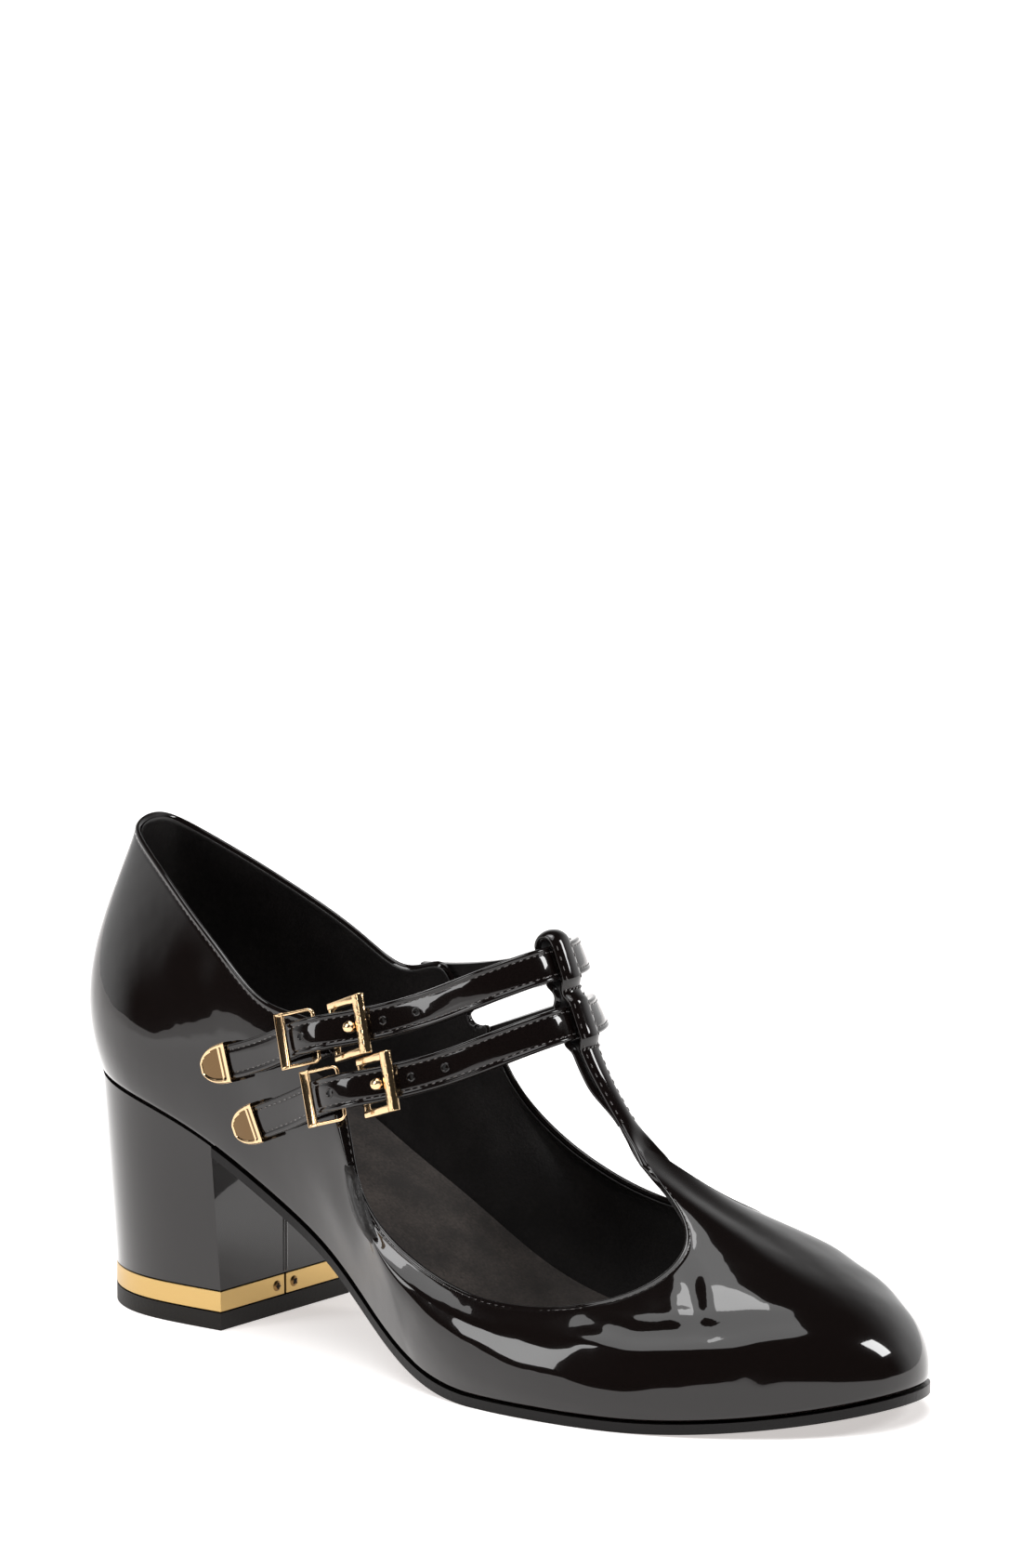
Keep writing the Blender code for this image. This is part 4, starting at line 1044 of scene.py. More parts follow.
    def edge_line(self, start: float, end: float, inset: float, count: int = 900) -> tuple[Array, Array]:
        """Line on the outer face a distance below the top edge, with its outward directions."""
        u = np.linspace(start, end, count)
        rate = self.last.climb_rate(u, np.ones_like(u))
        v = 1 - inset / rate
        out = self.last.normal(u, v)
        return self.last.point(u, v) + out * (self.rim_relief(np.array([inset]))[0]), out

    def sew_top_edge(self) -> None:
        """Sew the row that holds the folded top edge down."""
        work = bmesh.new()
        line, out = self.edge_line(-self.hem_end, self.hem_end, self.hem_inset)
        keep = np.ones(len(line), bool)
        for side in Side:
            near = np.hypot(*self.notch_shares(side, line).T) < self.hem_gap
            keep &= ~(near & (line[:, 1] * side.value < 0))
        edges = np.flatnonzero(np.diff(keep.astype(int)))
        for run in np.split(np.arange(len(line)), edges + 1):
            if len(run) > self.hem_least and keep[run[0]]:
                Thread().sew(work, line[run], out[run])
        new_piece("top_edge_stitches", work, [self.finishes.thread], sharp=None)

    def bar_lift(self, spread: Any) -> Any:
        """Height of the bar's rounded face over its edge plane, at a share across."""
        return self.plump * (1 - spread**2) - self.crown * np.abs(spread)**3

    def sew_bar(self) -> None:
        """Sew the bar's edges and the cross seams between its loops."""
        work = bmesh.new()
        steps = np.linspace(0.13, 1.0, 160)
        _, ahead = self.bar.frame(steps)
        half = self.bar.breadth(steps) * BAR_WIDTH / 2
        lift = self.bar.offset(steps) + self.bar_lift(self.bar_seam)
        middle = self.bar.point(steps) + ahead * lift[:, None]
        for side in (-1, 1):
            line = middle + np.stack([0 * half, side * half * self.bar_seam, 0 * half], -1)
            BAR_THREAD.sew(work, line, ahead)
        for distance in (STRAP_WIDTH + GAP * 2 + 0.0016, STRAP_WIDTH + STRAP_PITCH + GAP + 0.0020):
            step = self.bar.step_below_top(distance)
            up, way = self.bar.frame(step)
            centre = self.bar.point(step) + way * float(self.bar.offset(step))
            spread = np.linspace(-0.9, 0.9, 24)
            line = centre + np.stack([0 * spread, spread * BAR_WIDTH / 2, 0 * spread], -1)
            line = line + way * self.bar_lift(spread)[:, None]
            for offset in (-0.0005, 0.0005):
                CROSS_THREAD.sew(work, line + up * offset, np.tile(way, (len(line), 1)), lean=38.0)
        new_piece("bar_stitches", work, [self.finishes.thread], sharp=None)


# Insole, outsole and heel


@dataclass
class Bottom:
    """Insole, outsole, covered heel, metal band, screws and top piece."""

    last: Last
    finishes: Finishes
    steps: int = 150
    columns: int = 20
    sock_dish: float = 0.0006
    heel_steps: int = 60
    spigot_lap: float = 0.0002
    screw_dome: float = 0.34
    slot_shadow_size: tuple[float, float, float] = (1.3, 0.22, 0.10)
    seam_size: tuple[float, float] = (0.00040, 0.00022)
    seam_apart: float = 0.00042

    def ladder(self, start: float, end: float, outset: float,
               height: Callable[[Array, Array], Array]) -> PlaceFunction:
        """Face across the shoe between both lower edges.

        Args:
            start: ring position at the back.
            end: ring position at the front.
            outset: distance outside the upper's lower edge.
            height: height at a place along, and at a share across from -1 to 1.

        Returns:
            A function of the shares along and across.
        """
        def place(along: Array, across: Array) -> Array:
            """Place of a vertex."""
            u = start + (end - start) * along
            x, y, out_x, out_y = self.last.feather(u)
            width = np.abs(y + out_y * outset)
            x = x + out_x * outset
            closed = (along > 1 - 1e-6) | ((along < 1e-6) & (start < 1e-3))
            width = np.where(closed, 0.0, width)
            spread = np.sin((across - 0.5) * math.pi)
            z = height(x, spread)
            return np.stack([x - self.last.origin_x, spread * width + self.last.shift(x), z], -1)
        return place

    def build(self) -> None:
        """Make every piece of the bottom."""
        last = self.last
        inset = -(WALL + GAP)

        def sock_face(x: Array, spread: Array) -> Array:
            """Height of the sock, dished along its middle."""
            return last.bottom(x) + INSOLE_THICKNESS - self.sock_dish * (1 - spread**2)

        top = self.ladder(0.0, 1.0, inset, sock_face)
        low = self.ladder(0.0, 1.0, inset, lambda x, s: last.bottom(x))
        work = slab(self.steps, self.columns, top, low)
        soften(new_piece("insole_sock", work, [self.finishes.sock], ["insole"]), 0.0006, 3)
        start = last.breast_u + GAP / last.length
        top = self.ladder(start, 1.0, SOLE_EDGE, lambda x, s: last.bottom(x) - GAP)
        low = self.ladder(start, 1.0, SOLE_EDGE, lambda x, s: last.bottom(x) - GAP - SOLE_THICKNESS)
        work = slab(self.steps, self.columns, top, low)
        soften(new_piece("sole_unit", work, [self.finishes.sole], ["outsole"]), 0.0004)
        self.build_heel()

    def plan(self, share: float, inset: float) -> Callable[[Array, Array, float], Array]:
        """Plan of the heel.

        Args:
            share: taper share from the seat (0) to the floor (1).
            inset: distance set in.

        Returns:
            A function of the shares along and across, and a height.
        """
        keep_x = 1.0 + share * (self.last.heel_taper[0] - 1.0)
        keep_y = 1.0 + share * (self.last.heel_taper[1] - 1.0)

        def place(along: Array, across: Array, z: Any) -> Array:
            """Place of a vertex."""
            x, y, out_x, out_y = self.last.feather(self.last.breast_u * along)
            x = self.last.breast_x - (self.last.breast_x - x) * keep_x
            y = np.where(along < 1e-6, 0.0, np.abs(y) * keep_y)
            x = np.where(along < 1 - 1e-6, x - out_x * inset, self.last.breast_x - inset)
            y = np.maximum(y - np.abs(out_y) * inset, 0.0)
            spread = np.sin((across - 0.5) * math.pi)
            return np.stack([x - self.last.origin_x, spread * y, np.broadcast_to(z, x.shape)], -1)
        return place

    def build_heel(self) -> None:
        """Make the covered block, the band with its screws, and the top piece."""
        last = self.last
        level = TOP_PIECE_HEIGHT + GAP + BAND_HEIGHT + GAP
        seat, foot, spigot = self.plan(0.0, 0.0), self.plan(1.0, 0.0), self.plan(1.0, BAND_THICKNESS + GAP)

        def seat_face(along: Array, across: Array) -> Array:
            """Seat of the heel under the upper."""
            places = seat(along, across, 0.0)
            places[:, 2] = last.bottom(places[:, 0] + last.origin_x) - GAP
            return places

        def flat(plan: Callable[[Array, Array, float], Array], z: float) -> PlaceFunction:
            """Level face of a plan at a height."""
            return lambda along, across: plan(along, across, z)

        patent = [self.finishes.heel_patent]
        block = slab(self.heel_steps, 24, seat_face, flat(foot, level))
        soften(new_piece("covered_heel", block, patent, ["heel_block"]), 0.0007, 3)
        inside = slab(40, 8, flat(spigot, level - self.spigot_lap), flat(spigot, TOP_PIECE_HEIGHT + GAP))
        new_piece("heel_spigot", inside, patent)
        pad = slab(self.heel_steps, 16, flat(foot, TOP_PIECE_HEIGHT), flat(foot, 0.0))
        rubber = [self.finishes.top_piece]
        soften(new_piece("heel_top_piece", pad, rubber, ["top_piece"]), 0.0003)
        self.build_band(foot)
        self.build_cover_seam(level)

    def build_band(self, foot: Callable[[Array, Array, float], Array]) -> None:
        """Make the split metal band and its two cross-slot screws."""
        low = TOP_PIECE_HEIGHT + GAP
        shares = np.linspace(0.0, 1.0, self.heel_steps + 1)
        lateral = foot(shares, np.zeros_like(shares), low)
        medial = foot(shares[::-1], np.ones_like(shares), low)
        face_x = float(lateral[-1, 0])
        half = BAND_SLIT / 2
        breast = np.linspace(half, abs(float(medial[0, 1])), 12)[:-1]
        flat = np.stack([np.full(11, face_x), breast, np.full(11, low)], -1)
        mirrored = (flat * (1, -1, 1))[::-1]
        route = np.concatenate([flat, medial[:-1], lateral, mirrored])
        work = bmesh.new()
        verts, along, up = grid_places(work, len(route) - 1, 1)
        put(verts, route[along] + np.stack([0 * up, 0 * up, up * BAND_HEIGHT], -1))
        band = new_piece("heel_band_metal", work, [self.finishes.band], ["heel_band"], sharp=40)
        wall = band.modifiers.new("wall", "SOLIDIFY")
        wall.thickness = BAND_THICKNESS
        wall.offset = -1.0
        wall.use_even_offset = True
        soften(band, 0.00018, 2, 50)
        for name, side in (("left", 1), ("right", -1)):
            self.build_screw(name, np.array([face_x, side * SCREW_SPACING / 2, low + BAND_HEIGHT / 2]), side)

    def build_screw(self, name: str, face: Array, side: int) -> None:
        """Make a domed screw head with its cross slot, whose bars are painted near black as the slot's shade.
        """
        work = bmesh.new()
        radius = SCREW_DIAMETER / 2
        base = Matrix.Translation(face) @ Matrix.Rotation(math.radians(90), 4, "Y")
        spin = Matrix.Rotation(math.radians(20 + 25 * side), 4, "Z")
        bmesh.ops.create_uvsphere(work, u_segments=24, v_segments=12, radius=radius,
                                  matrix=base @ Matrix.Diagonal((1.0, 1.0, self.screw_dome, 1.0)))
        slot = Matrix.Diagonal((*(share * radius for share in self.slot_shadow_size), 1.0))
        for quarter in (0, 90):
            cross = spin @ Matrix.Rotation(math.radians(quarter), 4, "Z")
            lifted = base @ Matrix.Translation((0, 0, radius * 0.33))
            bmesh.ops.create_cube(work, size=1.0, matrix=lifted @ cross @ slot)
        # Faces across the slot bars take the near-black finish: painted shade of the slot
        least = radius * radius * 0.02
        for item in work.faces:
            if len(item.verts) == 4 and item.calc_area() > least and abs(item.normal.x) > 0.98:
                item.material_index = 1
        new_piece(f"screw_{name}", work, [self.finishes.screw, self.finishes.hole],
                  [f"band_screw_{name}"])

    def build_cover_seam(self, level: float) -> None:
        """Make the seam of the heel's cover down the middle of the breast: two folded edges side by side."""
        work = bmesh.new()
        top = float(self.last.bottom(self.last.breast_x)) - GAP
        heights = np.linspace(level + 0.0004, top - 0.0006, 30)
        x = np.full_like(heights, self.last.breast_x - self.last.origin_x)
        across = np.tile([0.0, 1.0, 0.0], (len(x), 1))
        out = np.tile([1.0, 0.0, 0.0], (len(x), 1))
        for side in (-1, 1):
            line = np.stack([x, np.full_like(x, side * self.seam_apart), heights], -1)
            add_sweep(work, line, across, out, self.seam_size, 8)
        new_piece("heel_cover_seam", work, [self.finishes.heel_patent], sharp=None)


# Straps and fittings


def arch(start: Array, start_way: Array, end: Array, end_way: Array, lead: float,
         steps: Sequence[float]) -> list[Array]:
    """Points of a free arch between two ends.

    Args:
        start: where it starts.
        start_way: direction there.
        end: where it ends.
        end_way: direction there.
        lead: share of the span over which it leaves its start straight.
        steps: shares of the arch at which the points lie.

    Returns:
        The points.
    """
    span = np.linalg.norm(end - start)
    leave = start + start_way * span * lead
    reach = end - end_way * span * LATERAL_LEAD
    return [(1 - t)**3 * start + 3 * t * (1 - t)**2 * leave + 3 * t * t * (1 - t) * reach + t**3 * end
            for t in steps]


class StrapPath:
    """Path of one strap: lateral tip, over the wing, through the bar's loop, to the medial quarter."""

    def __init__(self, level: Level, last: Last, bar: Bar) -> None:
        """Lay the path.

        Args:
            level: which strap.
            last: the form of the shoe.
            bar: the T bar.
        """
        stations = STRAP_STATIONS[level]
        tip, tail, rail = [last.station(along, rise, Side.LATERAL) for along, rise in stations[:3]]
        wing, sewn = [last.station(along, rise, Side.MEDIAL) for along, rise in stations[3:]]
        step = bar.step_below_top(STRAP_DROP[level])
        middle = bar.point(step)
        ahead = bar.frame(step)[1]
        plan = rail[0] - tail[0]
        plan[2] = 0.0
        climb = (middle[2] - rail[0][2]) / float(np.hypot(*(middle - rail[0])[:2]))
        forward = unit(unit(plan) + np.array([0.0, 0.0, climb]))
        inward = -rail[1]
        reach = HINGE_AHEAD[level]
        hinge = rail[0] + forward * reach + inward * reach * 0.05
        far = hinge + unit(forward + inward * 0.30) * FRAME_REACH
        side = np.array([0.0, 1.0, 0.0])
        clear = side * (BAR_WIDTH / 2 + GAP)
        points = [tip[0], tail[0], rail[0], hinge, far]
        points += arch(far, unit(forward + inward * 0.45), middle - clear, side, LATERAL_LEAD, LATERAL_STEPS)
        points += [middle - clear, middle, middle + clear]
        leaving = unit(side - MEDIAL_TURN * np.array([1.0, 0.0, 0.0]))
        points += arch(middle + clear, leaving, wing[0], unit(sewn[0] - wing[0]), MEDIAL_LEAD, MEDIAL_STEPS)
        points = np.array(points + [wing[0], sewn[0]])
        run = np.concatenate([[0.0], np.cumsum(np.linalg.norm(np.diff(points, axis=0), axis=1))])
        facing = {0: tip[1], 1: tail[1], 2: rail[1], 3: rail[1], 4: unit(rail[1] + forward * 0.25), 7: ahead,
                  8: ahead, 9: ahead, 12: wing[1], 13: sewn[1]}
        ways = np.array(list(facing.values()))
        self.level = level
        self.path = [Curve(run, points[:, axis]) for axis in range(3)]
        self.facing = [Curve(run[list(facing)], ways[:, axis]) for axis in range(3)]
        self.length = float(run[-1])
        self.rail_run, self.hinge_run, self.far_run = (float(run[i]) for i in (2, 3, 4))
        self.hole_run = self.hinge_run + (self.far_run - self.hinge_run) * HOLE_SHARE
        half = STRAP_THICKNESS / 2
        tip_lift = GAP + TIP_THICKNESS / 2
        over_tab = 2 * GAP + TAB_THICKNESS + half
        over_wire = over_tab + KEEPER_WIRE + 2 * GAP
        sewn_lift = GAP + half
        knots = [0.0, run[1], self.rail_run, self.rail_run + KEEPER_REACH, self.hinge_run + HINGE_RADIUS]
        knots += [self.far_run, run[6], run[8], run[12], run[13]]
        lifts = [tip_lift, tip_lift, (tip_lift + over_wire) / 2, over_wire, (over_wire + over_tab) / 2, half]
        self.lift = Curve(knots, lifts + [half / 2, 0.0, sewn_lift * 1.5, sewn_lift])

    def base(self, run: Any) -> tuple[Array, Array, Array, Array]:
        """Place on the base line, with its forward, across and outward directions."""
        run = np.asarray(run, float)
        place = np.stack([curve(run) for curve in self.path], -1)
        forward = unit(np.stack([curve.slope(run) for curve in self.path], -1))
        out = np.stack([curve(run) for curve in self.facing], -1)
        out = unit(out - forward * np.sum(out * forward, axis=-1, keepdims=True))
        return place, forward, np.cross(out, forward), out

    def at(self, run: Any, forward_by: Any = 0.0, across_by: Any = 0.0, lift: Any = 0.0) -> Array:
        """Point over the base line at a distance from the tip."""
        place, forward, across, out = self.base(run)
        moves = [np.asarray(move, float)[..., None] for move in (forward_by, across_by, lift)]
        return place + forward * moves[0] + across * moves[1] + out * moves[2]

    def over(self, run: Any, across_by: Any = 0.0, height: Any = 0.0) -> Array:
        """Point at a height over the strap's outer face."""
        return self.at(run, 0.0, across_by, self.lift(run) + STRAP_THICKNESS / 2 + height)


@dataclass
class Strap:
    """One strap with its seams, holes, buckle, keeper and tip."""

    path: StrapPath
    finishes: Finishes
    profile: tuple[tuple[float, float], ...] = (
        (-1.0, -0.50), (-0.97, -0.16), (-0.92, 0.08), (-0.85, 0.15), (-0.78, 0.08), (-0.72, -0.06),
        (-0.66, -0.12), (-0.60, -0.05), (-0.45, 0.03), (-0.2, 0.05), (0.0, 0.06))
    holes: tuple[float, ...] = (-0.0105, 0.0078, 0.0162)
    steps: int = 220
    seam_share: float = 0.66
    end_seams: tuple[float, float] = (0.0012, 0.0032)
    hole_radius: float = 0.00080
    ring_radius: float = 0.00088
    ring_size: tuple[float, float] = (0.00024, 0.00020)
    frame_round: float = 0.00042
    end_bar_round: float = 0.00072
    end_bar_crown: float = 0.00042
    keeper_corner: float = 0.0012
    groove_inset: float = 0.00055
    groove_wall: float = 0.00016
    groove_depth: float = 0.00030
    head_size: tuple[float, float, float] = (0.00160, 0.00140, 0.00088)
    slot_shadow_size: tuple[float, float] = (0.0021, 0.00135)

    def __post_init__(self) -> None:
        """Keep the strap's name."""
        self.name = self.path.level.value

    def build(self) -> None:
        """Make the strap, its seams and holes, then its fittings."""
        self.build_strap()
        self.build_tip()
        self.build_tab()
        self.build_frame()
        self.build_keeper()
        self.build_prong()

    def section(self) -> Array:
        """Share across and height in metres of each line of the strap's outer face."""
        half = np.array(self.profile)
        full = np.concatenate([half, (half * (-1, 1))[::-1][1:]])
        return full * (1.0, 0.001)

    def build_strap(self) -> None:
        """Make the strap with raised edges, stitched in from each edge, and punched, each hole's opening a
        painted shadow.
        """
        path = self.path
        rows = self.section()
        count = len(rows) - 1

        def outer(along: Array, across: Array) -> Array:
            """Outer face."""
            row = rows[np.rint(across * count).astype(int)]
            return path.over(along * path.length, row[:, 0] * STRAP_WIDTH / 2, row[:, 1])

        def inner(along: Array, across: Array) -> Array:
            """Lined inner face."""
            row = rows[np.rint(across * count).astype(int)]
            return path.over(along * path.length, row[:, 0] * STRAP_WIDTH / 2, -STRAP_THICKNESS)

        work = slab(self.steps, count, outer, inner, under_index=1)
        faces = [self.finishes.strap_patent, self.finishes.lining]
        strap = new_piece(f"strap_{self.name}_patent", work, faces, [f"strap_{self.name}"], 50)
        soften(strap, 0.00025, 2, 50)
        work = bmesh.new()
        run = np.linspace(0.0008, path.length - 0.0010, 400)
        out = path.base(run)[3]
        for side in (-1, 1):
            line = path.over(run, np.full(400, side * STRAP_WIDTH / 2 * self.seam_share), -0.00010)
            STRAP_THREAD.sew(work, line, out)
        for offset in self.end_seams:
            spread = np.linspace(-0.62, 0.62, 16) * STRAP_WIDTH / 2
            end = np.full(16, path.length - offset)
            Thread().sew(work, path.over(end, spread, 0.00004), path.base(end)[3])
        new_piece(f"strap_{self.name}_stitches", work, [self.finishes.thread], sharp=None)
        work = bmesh.new()
        for offset in self.holes:
            self.add_hole(work, path.hole_run + offset)
        rings = [self.finishes.strap_patent, self.finishes.hole]
        new_piece(f"strap_{self.name}_holes", work, rings, sharp=None)

    def add_hole(self, work: Work, run: float) -> None:
        """Add a punched hole: a flat disc painted near black as the shadow in its opening, inside a pressed
        ring.
        """
        _, forward, across, out = self.path.base(run)
        centre = self.path.over(run, 0.0, 0.00006)
        angles = np.linspace(0, math.tau, 25)[:-1]
        ways = forward * np.cos(angles)[:, None] + across * np.sin(angles)[:, None]
        outs = np.tile(out, (len(angles), 1))
        add_sweep(work, centre + ways * self.ring_radius, ways, outs, self.ring_size, 8, closed=True)
        # The opening is not cut: a flat near-black disc on the strap is its painted shadow
        place = Matrix.Translation(centre) @ axes_matrix(forward, across, out)
        made = bmesh.ops.create_circle(work, cap_ends=True, segments=24, radius=self.hole_radius,
                                       matrix=place)
        for face in {face for vert in made["verts"] for face in vert.link_faces}:
            face.material_index = 1

    def build_tip(self) -> None:
        """Make the bullet tip: a mirror face in a raised rim, with a ridge and a thick collar at its back; the
        face's dark reflection is painted in a darker gold.
        """
        path = self.path
        across_marks = np.sin(np.linspace(-0.5, 0.5, 31) * math.pi)

        def outline(along: Array) -> Array:
            """Half width of the tip."""
            return TIP_WIDTH / 2 * np.sqrt(np.maximum(1.0 - along**2.6, 0.0))

        def face(side: int) -> PlaceFunction:
            """One of its two faces."""
            def place(along: Array, across: Array) -> Array:
                """Place of a vertex."""
                long = np.sin(along * math.pi / 2)
                spread = across_marks[np.rint(across * 30).astype(int)]
                half = outline(long)
                edge = np.minimum((1 - np.abs(spread)) * half, (1 - long) * TIP_LENGTH)
                thick = TIP_THICKNESS / 2 * (1.0 - 0.30 * long**2)
                rim = smooth_share(edge, 0.0, 0.00035) - 0.42 * smooth_share(edge, 0.0006, 0.00115)
                ridge = np.exp(-((long * TIP_LENGTH - 0.0021) / 0.00030) ** 2)
                collar = 1 - smooth_share(long * TIP_LENGTH, 0.0008, 0.0014)
                raised = np.minimum(rim + 0.30 * ridge + 0.50 * collar, 1.0)
                under = smooth_share(edge, 0.0, 0.0005)
                height = thick * (0.58 + 0.42 * raised if side > 0 else 0.7 + 0.3 * under)
                lift = path.lift(np.zeros_like(long)) + side * height
                return path.at(np.zeros_like(long), -GAP - long * TIP_LENGTH, spread * half, lift)
            return place
        work = slab(40, 30, face(1), face(-1))
        start, forward, across, out = path.base(0.0)
        start = start + out * float(path.lift(0.0))
        # Faces inside the rim, ahead of the ridge and between collar and ridge, take the darker gold: a
        # painted dark reflection
        for item in work.faces:
            place = np.array(item.calc_center_median()) - start
            long = -float(place @ forward) - GAP
            half = float(outline(np.array(np.clip(long / TIP_LENGTH, 0.0, 1.0))))
            edge = min(half - abs(float(place @ across)), TIP_LENGTH - long)
            inside = edge > 0.00095 and (long > 0.0027 or 0.0013 < long < 0.0017)
            item.material_index = 1 if inside and place @ out > 0 else 0
        new_piece(f"tip_{self.name}_gold", work, [self.finishes.gold, self.finishes.dark_reflection_gold],
                  [f"strap_tip_{self.name}"], sharp=60)

    def build_tab(self) -> None:
        """Make the leather tab that holds the buckle's hinge bar."""
        path = self.path
        radius = HINGE_RADIUS + GAP + TAB_THICKNESS / 2
        runs = np.linspace(path.rail_run + TAB_SETBACK, path.hinge_run, 24)
        legs = [(run, 0.0, -HINGE_RADIUS + radius, 90.0) for run in runs]
        for angle in np.linspace(90.0, -90.0, 25)[1:]:
            turn = math.radians(angle)
            rise = -HINGE_RADIUS + radius * math.sin(turn)
            legs.append((path.hinge_run, radius * math.cos(turn), rise, angle))
        legs.append((path.hinge_run, -TAB_RETURN, -HINGE_RADIUS - radius, -90.0))
        table = np.array(legs)

        def face(side: int) -> PlaceFunction:
            """One of its two faces."""
            def place(along: Array, across: Array) -> Array:
                """Place of a vertex."""
                leg = table[np.rint(along * (len(table) - 1)).astype(int)]
                shift = side * TAB_THICKNESS / 2
                turn = np.radians(leg[:, 3])
                return path.at(leg[:, 0], leg[:, 1] + shift * np.cos(turn), (across - 0.5) * TAB_WIDTH,
                               leg[:, 2] + shift * np.sin(turn))
            return place

        work = slab(len(table) - 1, 6, face(1), face(-1))
        tab = new_piece(f"tab_{self.name}_patent", work, [self.finishes.strap_patent],
                        [f"buckle_tab_{self.name}"])
        soften(tab, 0.0002, 2, 50)

    def frame_axes(self) -> tuple[Array, Array, Array, Array, float]:
        """Hinge, axes and reach of the buckle frame."""
        path = self.path
        hinge = path.at(path.hinge_run, lift=-HINGE_RADIUS)
        over = float(path.lift(path.far_run)) + STRAP_THICKNESS / 2 + GAP + FRAME_THICKNESS / 2
        lean = (over + HINGE_RADIUS) / FRAME_REACH
        far = path.at(path.far_run, lift=over + lean * FRAME_END_WIDTH * 0.6)
        return (*tilted(hinge, far, path.base(path.hinge_run)[2]), float(np.linalg.norm(far - hinge)))

    def build_frame(self) -> None:
        """Make the buckle frame: round hinge bar, squared side bars and a broad rounded end bar."""
        origin, forward, across, out, reach = self.frame_axes()
        half = STRAP_WIDTH / 2 + FRAME_PLAY + FRAME_SIDE_WIDTH / 2
        work = bmesh.new()
        turn = axes_matrix(forward, across, out)
        for side in (-1, 1):
            middle = origin + forward * (reach - HINGE_RADIUS) / 2 + across * side * half
            sizes = Matrix.Diagonal((reach + HINGE_RADIUS, FRAME_SIDE_WIDTH, FRAME_THICKNESS, 1.0))
            bmesh.ops.create_cube(work, size=1.0, matrix=Matrix.Translation(middle) @ turn @ sizes)
        round_edges(work, work.edges[:], self.frame_round, 3)
        span = np.linspace(-half, half, 9)
        line = origin + np.outer(span, across)
        add_sweep(work, line, np.tile(forward, (9, 1)), np.tile(out, (9, 1)), (HINGE_RADIUS * 0.96,) * 2, 16)
        new_piece(f"buckle_{self.name}_gold", work, [self.finishes.gold],
                  [f"buckle_frame_{self.name}"], sharp=45)
        self.build_end_bar(Matrix.Translation(origin + forward * reach) @ turn, 2 * half + FRAME_SIDE_WIDTH)

    def build_end_bar(self, place: Matrix, wide: float) -> None:
        """Make the frame's broad, crowned end bar."""
        work = bmesh.new()
        sizes = Matrix.Diagonal((FRAME_END_WIDTH, wide, FRAME_THICKNESS, 1.0))
        bmesh.ops.create_cube(work, size=1.0, matrix=sizes)

        def along(least: float) -> list[Edge]:
            """Edges that run along the bar and are longer than a least."""
            return [edge for edge in work.edges if abs(edge.verts[0].co.y - edge.verts[1].co.y) > least]

        bmesh.ops.subdivide_edges(work, edges=along(0.001), cuts=22, use_grid_fill=True)
        rims = [edge for edge in along(1e-5) if abs(edge.verts[0].co.x) > FRAME_END_WIDTH * 0.49]
        round_edges(work, rims, self.end_bar_round, 5)
        for vert in (vert for vert in work.verts if vert.co.z > 0):
            vert.co.z += self.end_bar_crown * (1 - (vert.co.x / (FRAME_END_WIDTH / 2)) ** 2)
        bmesh.ops.transform(work, matrix=place, verts=work.verts)
        name = f"buckle_{self.name}_end_bar"
        bar = new_piece(name, work, [self.finishes.hammered], sharp=45)
        soften(bar, 0.00025, 2, 50)

    def build_keeper(self) -> None:
        """Make the keeper: a grooved rail over the strap and a thin wire round under it."""
        path = self.path
        apart = STRAP_THICKNESS / 2 + GAP + KEEPER_WIRE / 2
        lean = 2 * apart / KEEPER_REACH
        under_run = path.rail_run + KEEPER_REACH
        rail = path.at(path.rail_run, lift=float(path.lift(path.rail_run)) + apart + lean * KEEPER_RAIL * 0.6)
        under = path.at(under_run, lift=float(path.lift(under_run)) - apart - lean * KEEPER_WIRE * 0.6)
        origin, forward, across, out = tilted(rail, under, path.base(path.rail_run)[2])
        reach = float(np.linalg.norm(under - rail))
        half = STRAP_WIDTH / 2 + KEEPER_PLAY + KEEPER_WIRE / 2
        corner = self.keeper_corner
        turns = np.linspace(0.0, math.pi / 2, 7)
        loop = [(0.0, -half)]
        bend = reach - corner
        loop += [(bend + corner * math.sin(t), -half + corner - corner * math.cos(t)) for t in turns]
        loop += [(bend + corner * math.cos(t), half - corner + corner * math.sin(t)) for t in turns]
        loop += [(0.0, half)]
        table = np.array(loop)
        line = origin + np.outer(table[:, 0], forward) + np.outer(table[:, 1], across)
        ways = unit(np.gradient(line, axis=0))
        work = bmesh.new()
        outs = np.tile(out, (len(line), 1))
        add_sweep(work, line, np.cross(ways, out), outs, (KEEPER_WIRE / 2 * 0.95,) * 2, 12)
        rail_work = bmesh.new()
        sizes = Matrix.Diagonal((KEEPER_RAIL, 2 * half + KEEPER_WIRE, KEEPER_WIRE, 1.0))
        bmesh.ops.create_cube(rail_work, size=1.0, matrix=sizes)
        outer = [face for face in rail_work.faces if face.normal.z > 0.9]
        bmesh.ops.inset_region(rail_work, faces=outer, thickness=self.groove_inset, depth=0.0)
        bmesh.ops.inset_region(rail_work, faces=outer, thickness=self.groove_wall, depth=-self.groove_depth)
        sharp = [edge for edge in rail_work.edges if edge.calc_face_angle(0.0) > 1.2]
        round_edges(rail_work, sharp, 0.00022, 3)
        place = Matrix.Translation(origin) @ axes_matrix(forward, across, out)
        bmesh.ops.transform(rail_work, matrix=place, verts=rail_work.verts)
        spare = bpy.data.meshes.new("rail")
        rail_work.to_mesh(spare)
        rail_work.free()
        work.from_mesh(spare)
        bpy.data.meshes.remove(spare)
        new_piece(f"keeper_{self.name}_gold", work, [self.finishes.gold],
                  [f"keeper_{self.name}"], sharp=45)

